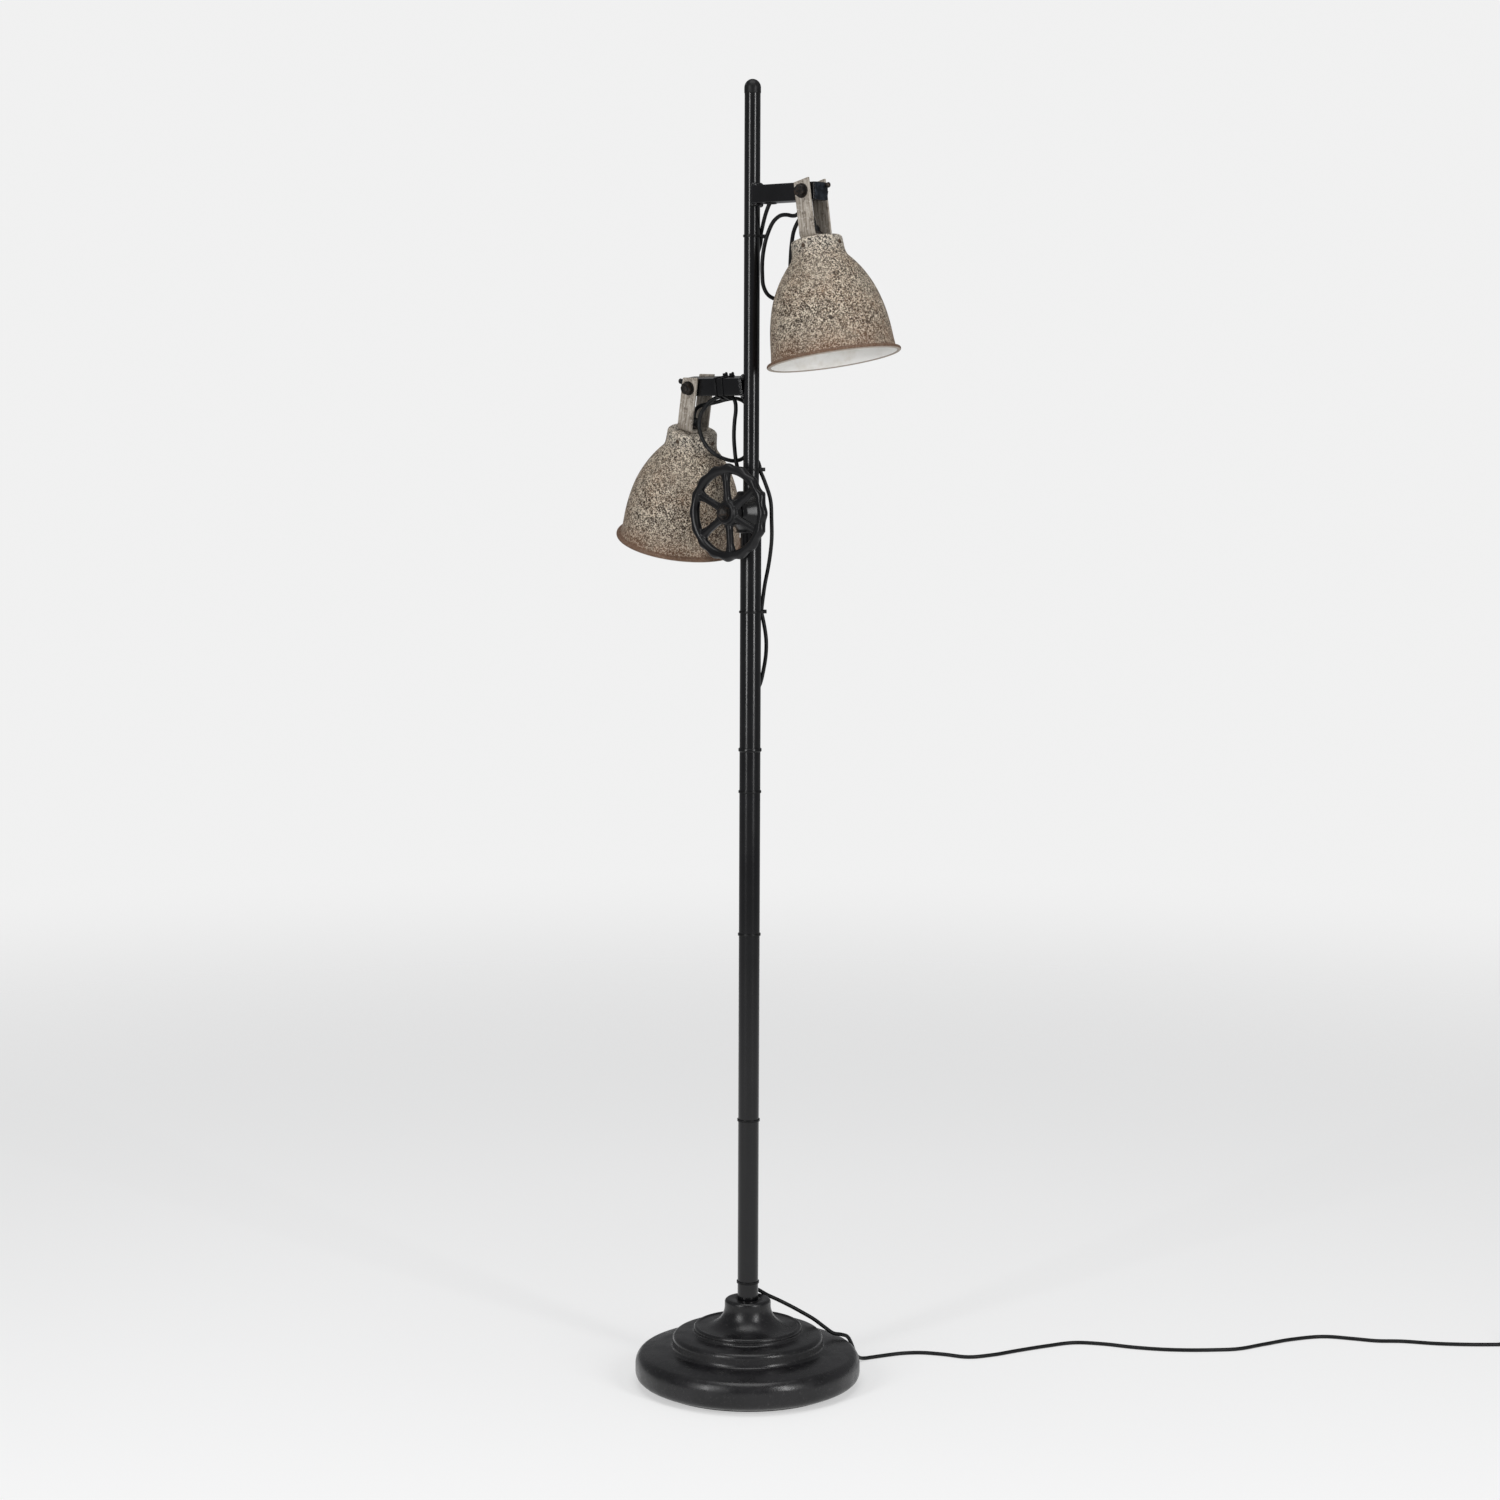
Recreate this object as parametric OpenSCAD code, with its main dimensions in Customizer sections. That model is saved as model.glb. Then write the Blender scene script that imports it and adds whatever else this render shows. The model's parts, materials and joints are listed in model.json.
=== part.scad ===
// Adjustable floor lamp: two tilting bell-shade heads on a telescopic pole with a handwheel clamp.
// Millimetres, +Z up. The origin is on the floor, at the middle of the round base.
// The upper arm points along +X, the lower arm along -X and the handwheel faces -Y.

/* [Base] */
// Radius of the lowest step of the cast base
base_r = 138.5; // [134:0.5:140]
// Radius of the middle step
step_r = 92.5; // [88:0.5:96]
// Radius of the top step
lip_r = 65.5; // [62:0.5:70]
// Radius of the collar that holds the pole
collar_r = 28.4; // [24:0.2:32]
// Height of the collar above the floor
collar_top = 106; // [100:1:115]
// Thickness of the felt pad
pad_h = 2; // [1:0.5:3]

/* [Pole] */
// Outside diameter of the two lower tubes
pole_d = 25.4; // [25:0.1:26]
// Wall of the lower tubes
pole_wall = 1.6; // [1.4:0.1:1.6]
// Height of the joint between the two lower tubes
joint_z = 786; // [700:1:850]
// Height of the top of the middle tube
pole_top = 1084; // [1082:1:1086]
// Height of the middle of the clamp screw
clamp_z = 1073; // [1072:0.5:1074]

/* [Mast] */
// Outside diameter of the thin upper tube
mast_d = 19.05; // [19:0.01:19.1]
// Wall of the thin upper tube
mast_wall = 1.5; // [1.2:0.1:2]
// Height of the foot of the mast inside the pole
mast_foot = 960; // [955:1:965]
// Overall height of the lamp
top_z = 1585; // [1570:1:1600]

/* [Arms] */
// Height of an arm's section
arm_h = 21; // [20:0.5:22]
// Width of an arm's section
arm_w = 24; // [22:0.5:24]
// Length of an arm beyond its pivot bolt
arm_over = 16; // [15:1:18]
// Height of the upper pivot bolt
upper_z = 1449; // [1448:1:1450]
// Distance of the upper pivot bolt from the pole's axis
upper_reach = 88.5; // [88:0.5:89]
// Height of the lower pivot bolt
lower_z = 1224; // [1223:1:1225]
// Distance of the lower pivot bolt from the pole's axis
lower_reach = 84; // [83:1:85]
// Roll of the lower arm about its own length, in degrees
lower_roll = 9; // [8:0.5:10]

/* [Heads] */
// Outward tilt of the upper head at rest, in degrees
upper_tilt = 8.5; // [8:0.5:9]
// Outward tilt of the lower head at rest, in degrees
lower_tilt = 15.5; // [15:0.5:16]
// Bend of the upper bracket's foot about X and Y, in degrees
upper_set = [1, -1.8];
// Bend of the lower bracket's foot about X and Y, in degrees
lower_set = [0, 0];
// Slant of the tops of the upper bracket's straps, in degrees
upper_cut = 6; // [0:1:10]
// Slant of the tops of the lower bracket's straps, in degrees
lower_cut = 14; // [0:1:16]
// Distance from a pivot bolt down to the top of its shade
drop = 55.3; // [55:0.1:56]
// Thickness of the spun shade
shade_t = 1; // [0.8:0.1:1.4]

/* [Handwheel] */
// Outside radius of the handwheel
wheel_r = 59; // [56:0.5:60]
// Number of finger lobes round the rim
wheel_lobes = 16; // [12:1:20]
// Number of spokes
wheel_spokes = 6; // [5:1:7]
// Distance of the middle of the rim in front of the pole's axis
wheel_y = 43; // [42:0.5:45]

/* [Cord] */
// Diameter of the cord
cord_d = 4.8; // [4.6:0.1:4.8]

/* [Hidden] */

fit = 0.05;
$fn = 48;
pole_r = pole_d / 2;
pole_bore = pole_r - pole_wall;
mast_r = mast_d / 2;
cord_r = cord_d / 2;
joint_h = 4.5;
cap_h = 17;
strap_t = 3;
strap_w = 22;
strap_gap = 28.6;
bolt_r = 4;
nipple_r = 5;
screw_r = 5;
plate_z = strap_t - drop;
holder_r = 18;
neck_r = 30.5;
neck_h = 18;
tie_t = 1.3;
tie_h = 2.8;
tie_gap = 0.45;
pin_y = 8.2;
pin_z = 7.4;
black = [0.06, 0.06, 0.065];
steel = [0.42, 0.41, 0.39];
aged = [0.45, 0.40, 0.33];
white = [0.92, 0.92, 0.9];
brass = [0.72, 0.6, 0.35];

// Route of the cord that the ties hold against the lower tubes, from the lowest tie upwards
pole_route = [
    [-7, 13.5, 127], [-9.5, 11.8, 150], [-9.8, 11.6, 260], [-9.8, 11.6, 420], [-9.8, 11.6, 600],
    [-9.8, 11.6, 735], [-10.6, 12.7, 770], [-10.8, 13, 786], [-10.6, 12.7, 802], [-9.6, 11.9, 830],
    [-5, 14.6, 850], [2, 17, 866], [6.5, 17.5, 883], [9.3, 18.3, 901], [9.6, 18.3, 919],
    [7.7, 16.6, 937], [5.2, 14.2, 953]
];
// Slack between the last tie on the pole and the first tie on the mast
slack_route = [
    [5.2, 14.2, 953], [6.6, 15, 967], [8.4, 16.6, 985], [12, 18.2, 1005], [15, 18.6, 1022],
    [17, 18.8, 1040], [17, 18.5, 1062], [15.3, 17.8, 1089], [10.3, 14.2, 1108], [4.8, 11.1, 1123]
];
// Cord from the first tie on the mast to the junction
junction_route = [
    [4.6, 11.1, 1124.6], [4, 11.4, 1127.5], [1.5, 12.2, 1132], [-2.5, 12.8, 1136.5], [-4.8, 12.8, 1140]
];
// Cord behind the mast, from the junction up to the highest tie
mast_route = [
    [-7.5, 12, 1162], [-7.5, 10.3, 1170], [-7.5, 9.5, 1179], [-7.5, 9.5, 1189], [-7.5, 12.6, 1200],
    [-7.5, 16.6, 1210], [-7.5, 17.5, 1219], [-7.5, 17.5, 1233], [-7.5, 16.4, 1243], [-7.5, 12.6, 1253],
    [-7.5, 9.9, 1264], [-7.5, 9.5, 1276], [-7.5, 9.5, 1320], [-7.5, 9.5, 1352], [-6.3, 10.5, 1364],
    [-3.4, 11.8, 1375], [0.4, 12.2, 1385], [3.8, 11.5, 1393], [5, 10.9, 1398], [5, 10.9, 1401]
];
// Cord from the highest tie to the grip of the upper head, with the loop that lets the head tilt
upper_route = [
    [5, 10.9, 1401], [5, 10.9, 1404], [7.6, 9.6, 1410], [13, 6, 1418.5], [20, 2, 1428.5], [26, 0, 1437],
    [31, 0, 1443.5], [38, 0, 1448.5], [47, 0, 1450.5], [57, -1, 1450.5], [66, -2, 1448.5], [73, -3, 1444],
    [77.2, -4, 1437.5], [78, -5, 1431], [75.5, -5, 1425.5], [70, -4, 1422.3], [62, -2, 1422], [53, 0, 1423.6],
    [44, 0, 1423.4], [34, 0, 1418], [25, 0, 1405], [18.5, 1, 1390], [14.5, 2, 1373], [13.5, 3, 1356],
    [14, 5, 1341], [16, 12, 1331], [21, 20, 1327], [28, 26, 1330], [35, 25, 1340], [41, 21, 1354],
    [45, 17, 1371], [49, 14, 1390], [55, 11, 1406], [64, 9, 1417.5], [72, 7.5, 1423], [79, 5, 1424.5],
    [85.5, 2.2, 1422.6], [90.4, 0.4, 1419], [93, -0.1, 1414.7], [94, -0.2, 1409.4]
];
// Cord from the junction to the grip of the lower head
lower_route = [
    [-10.1, 12.6, 1140], [-10.8, 12.8, 1128], [-13.5, 12, 1118], [-18, 9.5, 1114], [-22, 6, 1118],
    [-24, 2, 1130], [-25.5, 0, 1147], [-26, -1, 1165], [-25, -1, 1182], [-24, 0, 1196], [-25.5, 0.7, 1204.3],
    [-29.5, 1.5, 1209.6], [-34.3, 2, 1211.2], [-46, 2, 1211.2], [-49, 1.6, 1211.1], [-57, -3, 1208],
    [-64, -8, 1200], [-69, -13, 1188], [-69, -15, 1175], [-65, -14.5, 1162], [-57, -13, 1150],
    [-47, -9, 1141], [-38, -2, 1136], [-31.5, 5.5, 1134], [-26.5, 12, 1135.5], [-21.5, 17, 1140.5],
    [-18, 20, 1148.5],
    [-16, 21, 1160], [-15, 21, 1173], [-15.5, 20, 1186], [-18, 18, 1197], [-23, 15.8, 1204.5],
    [-31, 14.2, 1208.4], [-41, 13.4, 1209], [-50, 11.5, 1207.6], [-60, 8, 1204.9], [-69, 5, 1202.8],
    [-77.9, 3.6, 1201.2], [-85.7, 3.9, 1199.3], [-90.6, 4.4, 1196], [-93.3, 5.2, 1191.2], [-94.7, 6, 1185.9]
];
// Route of the mains lead from the lowest tie, over the base and along the floor
mains_route = [
    [-7, 13.5, 127], [-6.4, 14.6, 121], [-4.6, 18.6, 114.5], [-2.5, 26, 109.5], [1.5, 36, 102.5], [9, 48, 95],
    [19, 59, 87], [30, 71, 77.5], [40, 83, 67.5], [48.5, 93, 57], [55.5, 102, 48.6], [60, 112, 45.6],
    [61.8, 122, 41.2], [62, 130, 31], [60.5, 137.5, 20], [58.5, 146, 10.5], [57.5, 156, 4.5], [59.5, 166, 2.4],
    [64, 176, 2.4], [72, 193, 2.4], [82, 211, 2.4], [98, 228, 2.4],
    [124, 241, 2.4], [156, 252, 2.4], [175, 280, 2.4], [188, 313, 2.4], [206, 355, 2.4], [227, 392, 2.4],
    [258, 410, 2.4], [294, 422, 2.4],
    [328, 438, 2.4], [356, 457, 2.4], [380, 478, 2.4], [400, 499, 2.4], [418, 542, 2.4], [435, 584, 2.4],
    [463, 623, 2.4], [494, 637, 2.4], [522, 648, 2.4], [548, 667, 2.4], [588, 687, 2.4], [622, 710, 2.4],
    [652, 735, 2.4], [658, 740.5, 4.5], [665, 746.3, 8], [672.2, 752.2, 9]
];
// Route of the short lead between the inline switch and the coil
coil_lead_route = [
    [721.8, 792.9, 9], [726.5, 796.4, 8.2], [732, 799, 5.5], [738.5, 800.8, 3.2], [745.5, 802.4, 2.4],
    [751.5, 804.3, 2.4]
];
// Direction of the inline switch on the floor, its middle and its size
switch_angle = 39.5;
switch_mid = [697, 772.5];
switch_size = [64, 28, 18];
// Coil of spare lead
coil_mid = [768, 776];
coil_mean_r = 28;
coil_turns_w = 3;
coil_turns_h = 2;
// Plug beside the coil: its middle, its direction and its size
plug_mid = [766.6, 719.5, 7.2];
plug_angle = -127;
plug_size = [36, 36, 14.4];
pin_gap = 19;

function arc(cx, cz, rx, rz, a0, a1, n) =
    [for (i = [0:n]) [cx + rx * cos(a0 + (a1 - a0) * i / n), cz + rz * sin(a0 + (a1 - a0) * i / n)]];

// Tube swept along a route. Each ring stands square to the mean of the two directions at its point.
function unit(v) = v / norm(v);
function heading(p, i) = unit(
    i == 0 ? p[1] - p[0] :
    i == len(p) - 1 ? p[i] - p[i - 1] :
    unit(p[i] - p[i - 1]) + unit(p[i + 1] - p[i]));
function carry(v, h) = unit(v - h * (v * h));
function sides(p, i, v) = let (w = carry(v, heading(p, i)))
    i == len(p) - 1 ? [w] : concat([w], sides(p, i + 1, w));
module swept(p, r, n = 8) {
    u = sides(p, 0, abs(heading(p, 0)[2]) > 0.9 ? [1, 0, 0] : [0, 0, 1]);
    m = len(p);
    ring = [for (i = [0:m - 1]) let (h = heading(p, i), a = u[i], b = cross(h, a))
        for (k = [0:n - 1]) p[i] + r * (cos(360 * k / n) * a + sin(360 * k / n) * b)];
    side_faces = [for (i = [0:m - 2], k = [0:n - 1]) let (j = (k + 1) % n)
        each [[i * n + k, (i + 1) * n + k, (i + 1) * n + j], [i * n + k, (i + 1) * n + j, i * n + j]]];
    start_face = [for (k = [0:n - 1]) k];
    end_face = [for (k = [0:n - 1]) m * n - 1 - k];
    polyhedron(ring, concat(side_faces, [start_face, end_face]));
}

// Ring with its foot at z = 0
module hoop(r_out, r_in, h) {
    difference() {
        cylinder(r = r_out, h = h);
        translate([0, 0, -1]) cylinder(r = r_in, h = h + 2);
    }
}

// Hexagonal prism with its foot at z = 0
module hex(across_flats, h) {
    cylinder(r = across_flats / sqrt(3), h = h, $fn = 6);
}

// Cable tie round a tube of radius r and a cord of radius cord_r beside it, at angle a and centre distance d
module tube_tie(r, a, d, z) {
    rotate([0, 0, a]) translate([0, 0, z - tie_h / 2]) {
        linear_extrude(tie_h) difference() {
            union() {
                circle(r + tie_t);
                translate([d, 0]) circle(cord_r + tie_t + tie_gap);
            }
            circle(r + 0.02);
            translate([d, 0]) circle(cord_r + tie_gap);
        }
        translate([d + cord_r + 1.4, -2.4, -1]) cube([3.6, 4.8, tie_h + 2]);
    }
}

// Clip bonded to a tube of radius r, which holds a cord at angle a and centre distance d
module saddle_clip(r, a, d, z) {
    rotate([0, 0, a]) translate([0, 0, z]) linear_extrude(6) difference() {
        translate([d, 0]) circle(cord_r + tie_t + tie_gap);
        circle(r + 0.02);
        translate([d, 0]) circle(cord_r + tie_gap);
    }
}

// Cable tie round an arm and the cord under it, at distance x along the arm
module arm_tie(x) {
    half_h = arm_h / 2;
    translate([x - tie_h / 2, 0, 0]) difference() {
        translate([0, -arm_w / 2 - tie_t, -half_h - cord_d - tie_t - 0.3])
            cube([tie_h, arm_w + 2 * tie_t, arm_h + cord_d + 2 * tie_t + 0.3]);
        translate([-1, -arm_w / 2 - 0.02, -half_h - 0.02]) cube([tie_h + 2, arm_w + 0.04, arm_h + 0.04]);
        translate([-1, -5, -half_h - cord_d - 0.3]) cube([tie_h + 2, 10, cord_d + 1]);
        for (side = [-1, 1]) mirror([0, side < 0 ? 1 : 0, 0])
            translate([-1, 6.4, -half_h - cord_d - 3]) cube([tie_h + 2, arm_w, cord_d + 3 - tie_t]);
    }
    translate([x - 2.6, -11, half_h + tie_t]) cube([5.2, 5, 3]);
}

// ---- Base ----

module base_casting() {
    flare = arc(54, 98, 54 - collar_r, 98 - 72.8, 270, 180, 8);
    shoulder = arc(collar_r - 4, collar_top - 4, 4, 4, 0, 90, 4);
    outside = concat(
        [[base_r - 19, pad_h], [base_r - 14, 3], [base_r - 9, 5], [base_r - 4, 7.6], [base_r - 1, 10.8]],
        [[base_r, 15]],
        arc(base_r - 8.5, 28, 8.5, 12.5, 0, 90, 6),
        [[base_r - 14.5, 42.5], [112, 44], [step_r + 1.5, 45]],
        arc(step_r - 7, 55, 7, 7, 0, 90, 5),
        [[lip_r + 4, 63.6], [lip_r, 65.5]],
        arc(lip_r - 3, 69.5, 3, 3, 0, 90, 4),
        flare, shoulder);
    socket = [[pole_r + fit, collar_top], [pole_r + fit, 46], [5.6, 46], [5.6, 24]];
    underside = [[28, 24], [28, 50], [52, 56], [80, 54], [84, 37], [112, 34], [116, 26], [116, pad_h]];
    color(black) rotate_extrude($fn = 96) polygon(concat(outside, socket, underside));
}

module base_pad() {
    color([0.1, 0.1, 0.1]) cylinder(r = base_r - 20, h = pad_h, $fn = 96);
}

module base_bolt() {
    color(steel) {
        translate([0, 0, 15.4]) hex(17, 6.4);
        translate([0, 0, 21.8]) cylinder(r = 5, h = 46.2);
    }
}

module base_washer() {
    color(steel) translate([0, 0, 21.8]) hoop(12, 5.2, 2.2);
}

module tube_foot_plug() {
    color(steel) translate([0, 0, 46]) hoop(pole_bore - fit, 5.02, 30);
}

// ---- Pole ----

module lower_tube() {
    color(black) translate([0, 0, 46]) hoop(pole_r, pole_bore, joint_z - joint_h / 2 - 46);
}

module joint_sleeve() {
    color(steel) translate([0, 0, joint_z - 32]) hoop(pole_bore - fit, 8.5, 64);
}

module joint_ring() {
    color(black) translate([0, 0, joint_z - joint_h / 2]) hoop(pole_r + 1.4, pole_bore, joint_h);
}

module middle_tube() {
    foot = joint_z + joint_h / 2;
    color(black) difference() {
        translate([0, 0, foot]) hoop(pole_r, pole_bore, pole_top - foot);
        translate([0, 0, clamp_z]) rotate([90, 0, 0]) cylinder(r = screw_r + 0.4, h = pole_r + 1);
    }
}

// Collar on the top of the middle tube, with a threaded boss for the clamp screw
module clamp_collar() {
    foot = 1048;
    head = 1098;
    color(black) difference() {
        union() {
            translate([0, 0, foot]) cylinder(r = 17.5, h = head - foot - 2);
            translate([0, 0, head - 2]) cylinder(r1 = 17.5, r2 = 15.5, h = 2);
            at_clamp() {
                translate([0, 0, 7]) cylinder(r = 24, h = 5);
                translate([0, 0, 12]) cylinder(r1 = 24, r2 = 15, h = 15);
                cylinder(r = 15, h = 33);
            }
        }
        translate([0, 0, foot - 1]) cylinder(r = pole_r + 0.02, h = pole_top - foot + 1);
        translate([0, 0, pole_top - 1]) cylinder(r = mast_r + fit, h = head - pole_top + 2);
        at_clamp() cylinder(r = screw_r + fit, h = 34);
    }
}

module stand_cable_ties() {
    color(black) {
        tube_tie(pole_r, 117.4, 15.2, 127);
        for (z = [330, 560, 735]) tube_tie(pole_r, 130.2, 15.2, z);
        tube_tie(pole_r, 69.9, 15.15, 953);
    }
}

module pole_cord() {
    color(black) swept(pole_route, cord_r);
}

module slack_cord() {
    color(black) swept(slack_route, cord_r);
}

// ---- Mains lead ----

module mains_cord() {
    color(black) {
        swept(mains_route, cord_r);
        swept(coil_lead_route, cord_r);
    }
}

module mains_coil() {
    half_w = coil_turns_w * cord_d / 2;
    color(black) translate([coil_mid[0], coil_mid[1], 0])
        rotate_extrude() translate([coil_mean_r - half_w, 0]) square([2 * half_w, coil_turns_h * cord_d]);
}

module plug_body() {
    size = plug_size;
    color(black) translate(plug_mid) rotate([0, 0, plug_angle]) {
        intersection() {
            translate([0, 0, -size[2] / 2]) linear_extrude(size[2])
                polygon([[-18, -8], [-8, -18], [18, -18], [18, 18], [-8, 18], [-18, 8]]);
            translate([-size[0] / 2, -size[1] / 2, -size[2] / 2]) cube(size);
        }
        translate([-size[0] / 2, 0, 0]) rotate([0, -90, 0]) cylinder(r1 = 6, r2 = 3, h = 22);
    }
}

module plug_pins() {
    color(brass) translate(plug_mid) rotate([0, 0, plug_angle])
        for (y = [-pin_gap / 2, pin_gap / 2]) translate([plug_size[0] / 2, y, 0]) rotate([0, 90, 0])
            cylinder(r = 2, h = 19);
}

module on_switch() {
    translate([switch_mid[0], switch_mid[1], 0]) rotate([0, 0, switch_angle]) children();
}

module switch_base() {
    size = switch_size;
    color(black) on_switch() difference() {
        translate([-size[0] / 2, -size[1] / 2, 0]) cube([size[0], size[1], 9]);
        translate([-size[0] / 2 + 2, -size[1] / 2 + 2, 2]) cube([size[0] - 4, size[1] - 4, 8]);
    }
}

module switch_cover() {
    size = switch_size;
    color(black) on_switch() difference() {
        translate([-size[0] / 2, -size[1] / 2, 9]) cube([size[0], size[1], size[2] - 9]);
        translate([-size[0] / 2 + 2, -size[1] / 2 + 2, 8]) cube([size[0] - 4, size[1] - 4, size[2] - 10]);
        translate([0, 0, 8]) cylinder(r = 9.3, h = size[2]);
    }
}

module switch_button() {
    color([0.12, 0.12, 0.12]) on_switch() {
        translate([0, 0, 15.8]) cylinder(r = 9.22, h = 6.4);
        translate([0, 0, 14.4]) cylinder(r = 11, h = 1.4);
    }
}

// ---- Mast ----

module guide_bush() {
    color(brass) translate([0, 0, mast_foot + 12]) hoop(pole_bore - fit, mast_r + fit, 18);
}

module mast_tube() {
    color(black) translate([0, 0, mast_foot]) hoop(mast_r, mast_r - mast_wall, top_z - cap_h - mast_foot);
}

module mast_cap() {
    outline = concat([[0, 0], [mast_r - 0.2, 0], [mast_r + 0.4, 0.8], [mast_r + 0.4, 7]],
        arc(0, 7, mast_r + 0.4, cap_h - 7, 0, 90, 8));
    color(black) translate([0, 0, top_z - cap_h]) rotate_extrude() polygon(outline);
}

module mast_snap_rings() {
    color(steel) for (z = [mast_foot + 10, mast_foot + 30.2])
        translate([0, 0, z]) hoop(mast_r + 1.3, mast_r + 0.02, 1.8);
}

// Rectangular arm, welded to the mast at one end and drilled for its pivot bolt
module arm(reach) {
    length = reach + arm_over - 1.6;
    wall = 2.5;
    root = 8.6;
    difference() {
        union() {
            translate([root, -arm_w / 2, -arm_h / 2]) cube([length - root, arm_w, arm_h]);
            translate([0, -8, -arm_h / 2]) cube([root + 1, 16, arm_h]);
        }
        translate([mast_r + 4, -arm_w / 2 + wall, -arm_h / 2 + wall])
            cube([length, arm_w - 2 * wall, arm_h - 2 * wall]);
        translate([0, 0, -arm_h]) cylinder(r = mast_r + 0.01, h = 2 * arm_h);
        translate([reach, arm_w, 0]) rotate([90, 0, 0]) cylinder(r = bolt_r + 0.03, h = 2 * arm_w);
    }
}

// The upper arm also has two holes in its underside, because its cord runs inside it
module upper_arm() {
    color(black) translate([0, 0, upper_z]) difference() {
        arm(upper_reach);
        translate([28, 0, -arm_h]) cylinder(r = 6, h = arm_h);
        translate([75.8, -3.7, -arm_h]) cylinder(r = 4.6, h = arm_h);
    }
}

module lower_arm() {
    color(black) difference() {
        at_lower_arm() arm(lower_reach);
        translate([0, 0, lower_z - arm_h]) cylinder(r = mast_r + 0.01, h = 2 * arm_h);
    }
}

// Frame at the lower arm's root, with +X along the arm
module at_lower_arm() {
    translate([0, 0, lower_z]) rotate([lower_roll, 0, 0]) rotate([0, 0, 180]) children();
}

// Places its children in a frame at each arm's root, with +X along the arm
module at_arms() {
    translate([0, 0, upper_z]) {
        $reach = upper_reach;
        children();
    }
    at_lower_arm() {
        $reach = lower_reach;
        children();
    }
}

module arm_end_plugs() {
    color(steel) at_arms() translate([$reach + arm_over - 1.6, -arm_w / 2, -arm_h / 2]) difference() {
        cube([1.6, arm_w, arm_h]);
        translate([-1, arm_w / 2 + pin_y, arm_h / 2 + pin_z]) rotate([0, 90, 0]) cylinder(r = 2, h = 4);
    }
}

module arm_end_screws() {
    color(steel) at_arms() translate([$reach + arm_over, pin_y, pin_z]) rotate([0, 90, 0]) {
        cylinder(r = 2.6, h = 1.6);
        translate([0, 0, 1.6]) cylinder(r = 3.4, h = 2.4);
        translate([0, 0, 4]) cylinder(r1 = 3.4, r2 = 2, h = 1.4);
        translate([0, 0, -1.6]) cylinder(r = 1.98, h = 1.6);
    }
}

module pivot_bolts() {
    half = strap_gap / 2 + strap_t + 1.6;
    color(steel) at_arms() translate([$reach, 0, 0]) {
        translate([0, half, 0]) rotate([90, 0, 0]) cylinder(r = bolt_r - 0.02, h = 2 * half);
        translate([0, -half, 0]) rotate([90, 0, 0]) hex(13, 5.5);
    }
}

module pivot_nuts() {
    half = strap_gap / 2 + strap_t + 1.6;
    color(steel) at_arms() translate([$reach, half, 0]) rotate([-90, 0, 0]) hex(13, 6.5);
}

module mast_cable_ties() {
    color(black) {
        tube_tie(mast_r, 67.3, 11.93, 1124);
        for (z = [1181, 1282, 1336]) saddle_clip(mast_r, 128.3, 12.11, z);
        tube_tie(mast_r, 65.4, 12, 1401);
        at_lower_arm() for (x = [36, 46]) arm_tie(x);
    }
}

module cord_junction() {
    color(black) translate([-7.5, 12.6, 1140]) difference() {
        translate([0, 0, 0]) cylinder(r = 6, h = 22);
        translate([7.5, -12.6, -1]) cylinder(r = mast_r + 0.1, h = 24);
    }
}

module mast_cord() {
    color(black) {
        swept(junction_route, cord_r);
        swept(mast_route, cord_r);
    }
}

module upper_lamp_cord() {
    color(black) swept(upper_route, cord_r);
}

module lower_lamp_cord() {
    color(black) swept(lower_route, cord_r);
}

// ---- Handwheel clamp ----

// Frame at the mast's axis and the screw's height, with +Z out through the handwheel
module at_clamp() {
    translate([0, 0, clamp_z]) rotate([90, 0, 0]) children();
}

module clamp_pad() {
    color(brass) at_clamp() translate([0, 0, mast_r + 0.05]) cylinder(r = screw_r, h = 5);
}

module clamp_screw() {
    foot = mast_r + 5.1;
    color(steel) at_clamp() translate([0, 0, foot]) cylinder(r = screw_r, h = wheel_y + 14 - foot);
}

module handwheel() {
    rim_w = 12.5;
    rim_mid = wheel_r - rim_w / 2;
    hub_r = 15;
    spoke = [9, 6.5];
    color(black) at_clamp() translate([0, 0, wheel_y - 7]) difference() {
        union() {
            cylinder(r = hub_r, h = 14);
            translate([0, 0, 1]) linear_extrude(12) difference() {
                union() {
                    circle(r = wheel_r - 1.6, $fn = 96);
                    for (i = [1:wheel_lobes]) rotate([0, 0, i * 360 / wheel_lobes])
                        translate([wheel_r - 6, 0]) circle(r = 6);
                }
                circle(r = wheel_r - rim_w, $fn = 96);
            }
            for (i = [1:wheel_spokes]) rotate([0, 0, 95 + i * 360 / wheel_spokes])
                translate([0, -spoke[0] / 2, 7 - spoke[1] / 2]) cube([rim_mid, spoke[0], spoke[1]]);
        }
        translate([0, 0, -1]) cylinder(r = screw_r + 0.03, h = 16);
    }
}

module wheel_washer() {
    color(steel) at_clamp() translate([0, 0, wheel_y + 7]) hoop(8.5, screw_r + 0.02, 1.6);
}

module wheel_nut() {
    outline = concat([[screw_r + 0.01, 0], [7.4, 0], [7.4, 3]], arc(0, 3, 7.4, 6.4, 0, 90, 8),
        [[0, 5.6], [screw_r + 0.01, 5.6]]);
    color(steel) at_clamp() translate([0, 0, wheel_y + 8.6]) rotate_extrude() polygon(outline);
}

// ---- Lamp heads ----

// Frame of a head: the origin is the pivot bolt, -Z points down the straps
module at_upper_head() {
    translate([upper_reach, 0, upper_z]) rotate([0, -upper_tilt, 0]) children();
}

module at_lower_head() {
    translate([-lower_reach, 0, lower_z]) rotate([lower_roll, 0, 0]) rotate([0, lower_tilt, 0]) children();
}

// Frame of the parts below the bracket's foot: its origin is the top of the shade
module at_foot(set) {
    translate([0, 0, plate_z]) rotate([set[0], set[1], 0]) translate([0, 0, -strap_t]) children();
}

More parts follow.
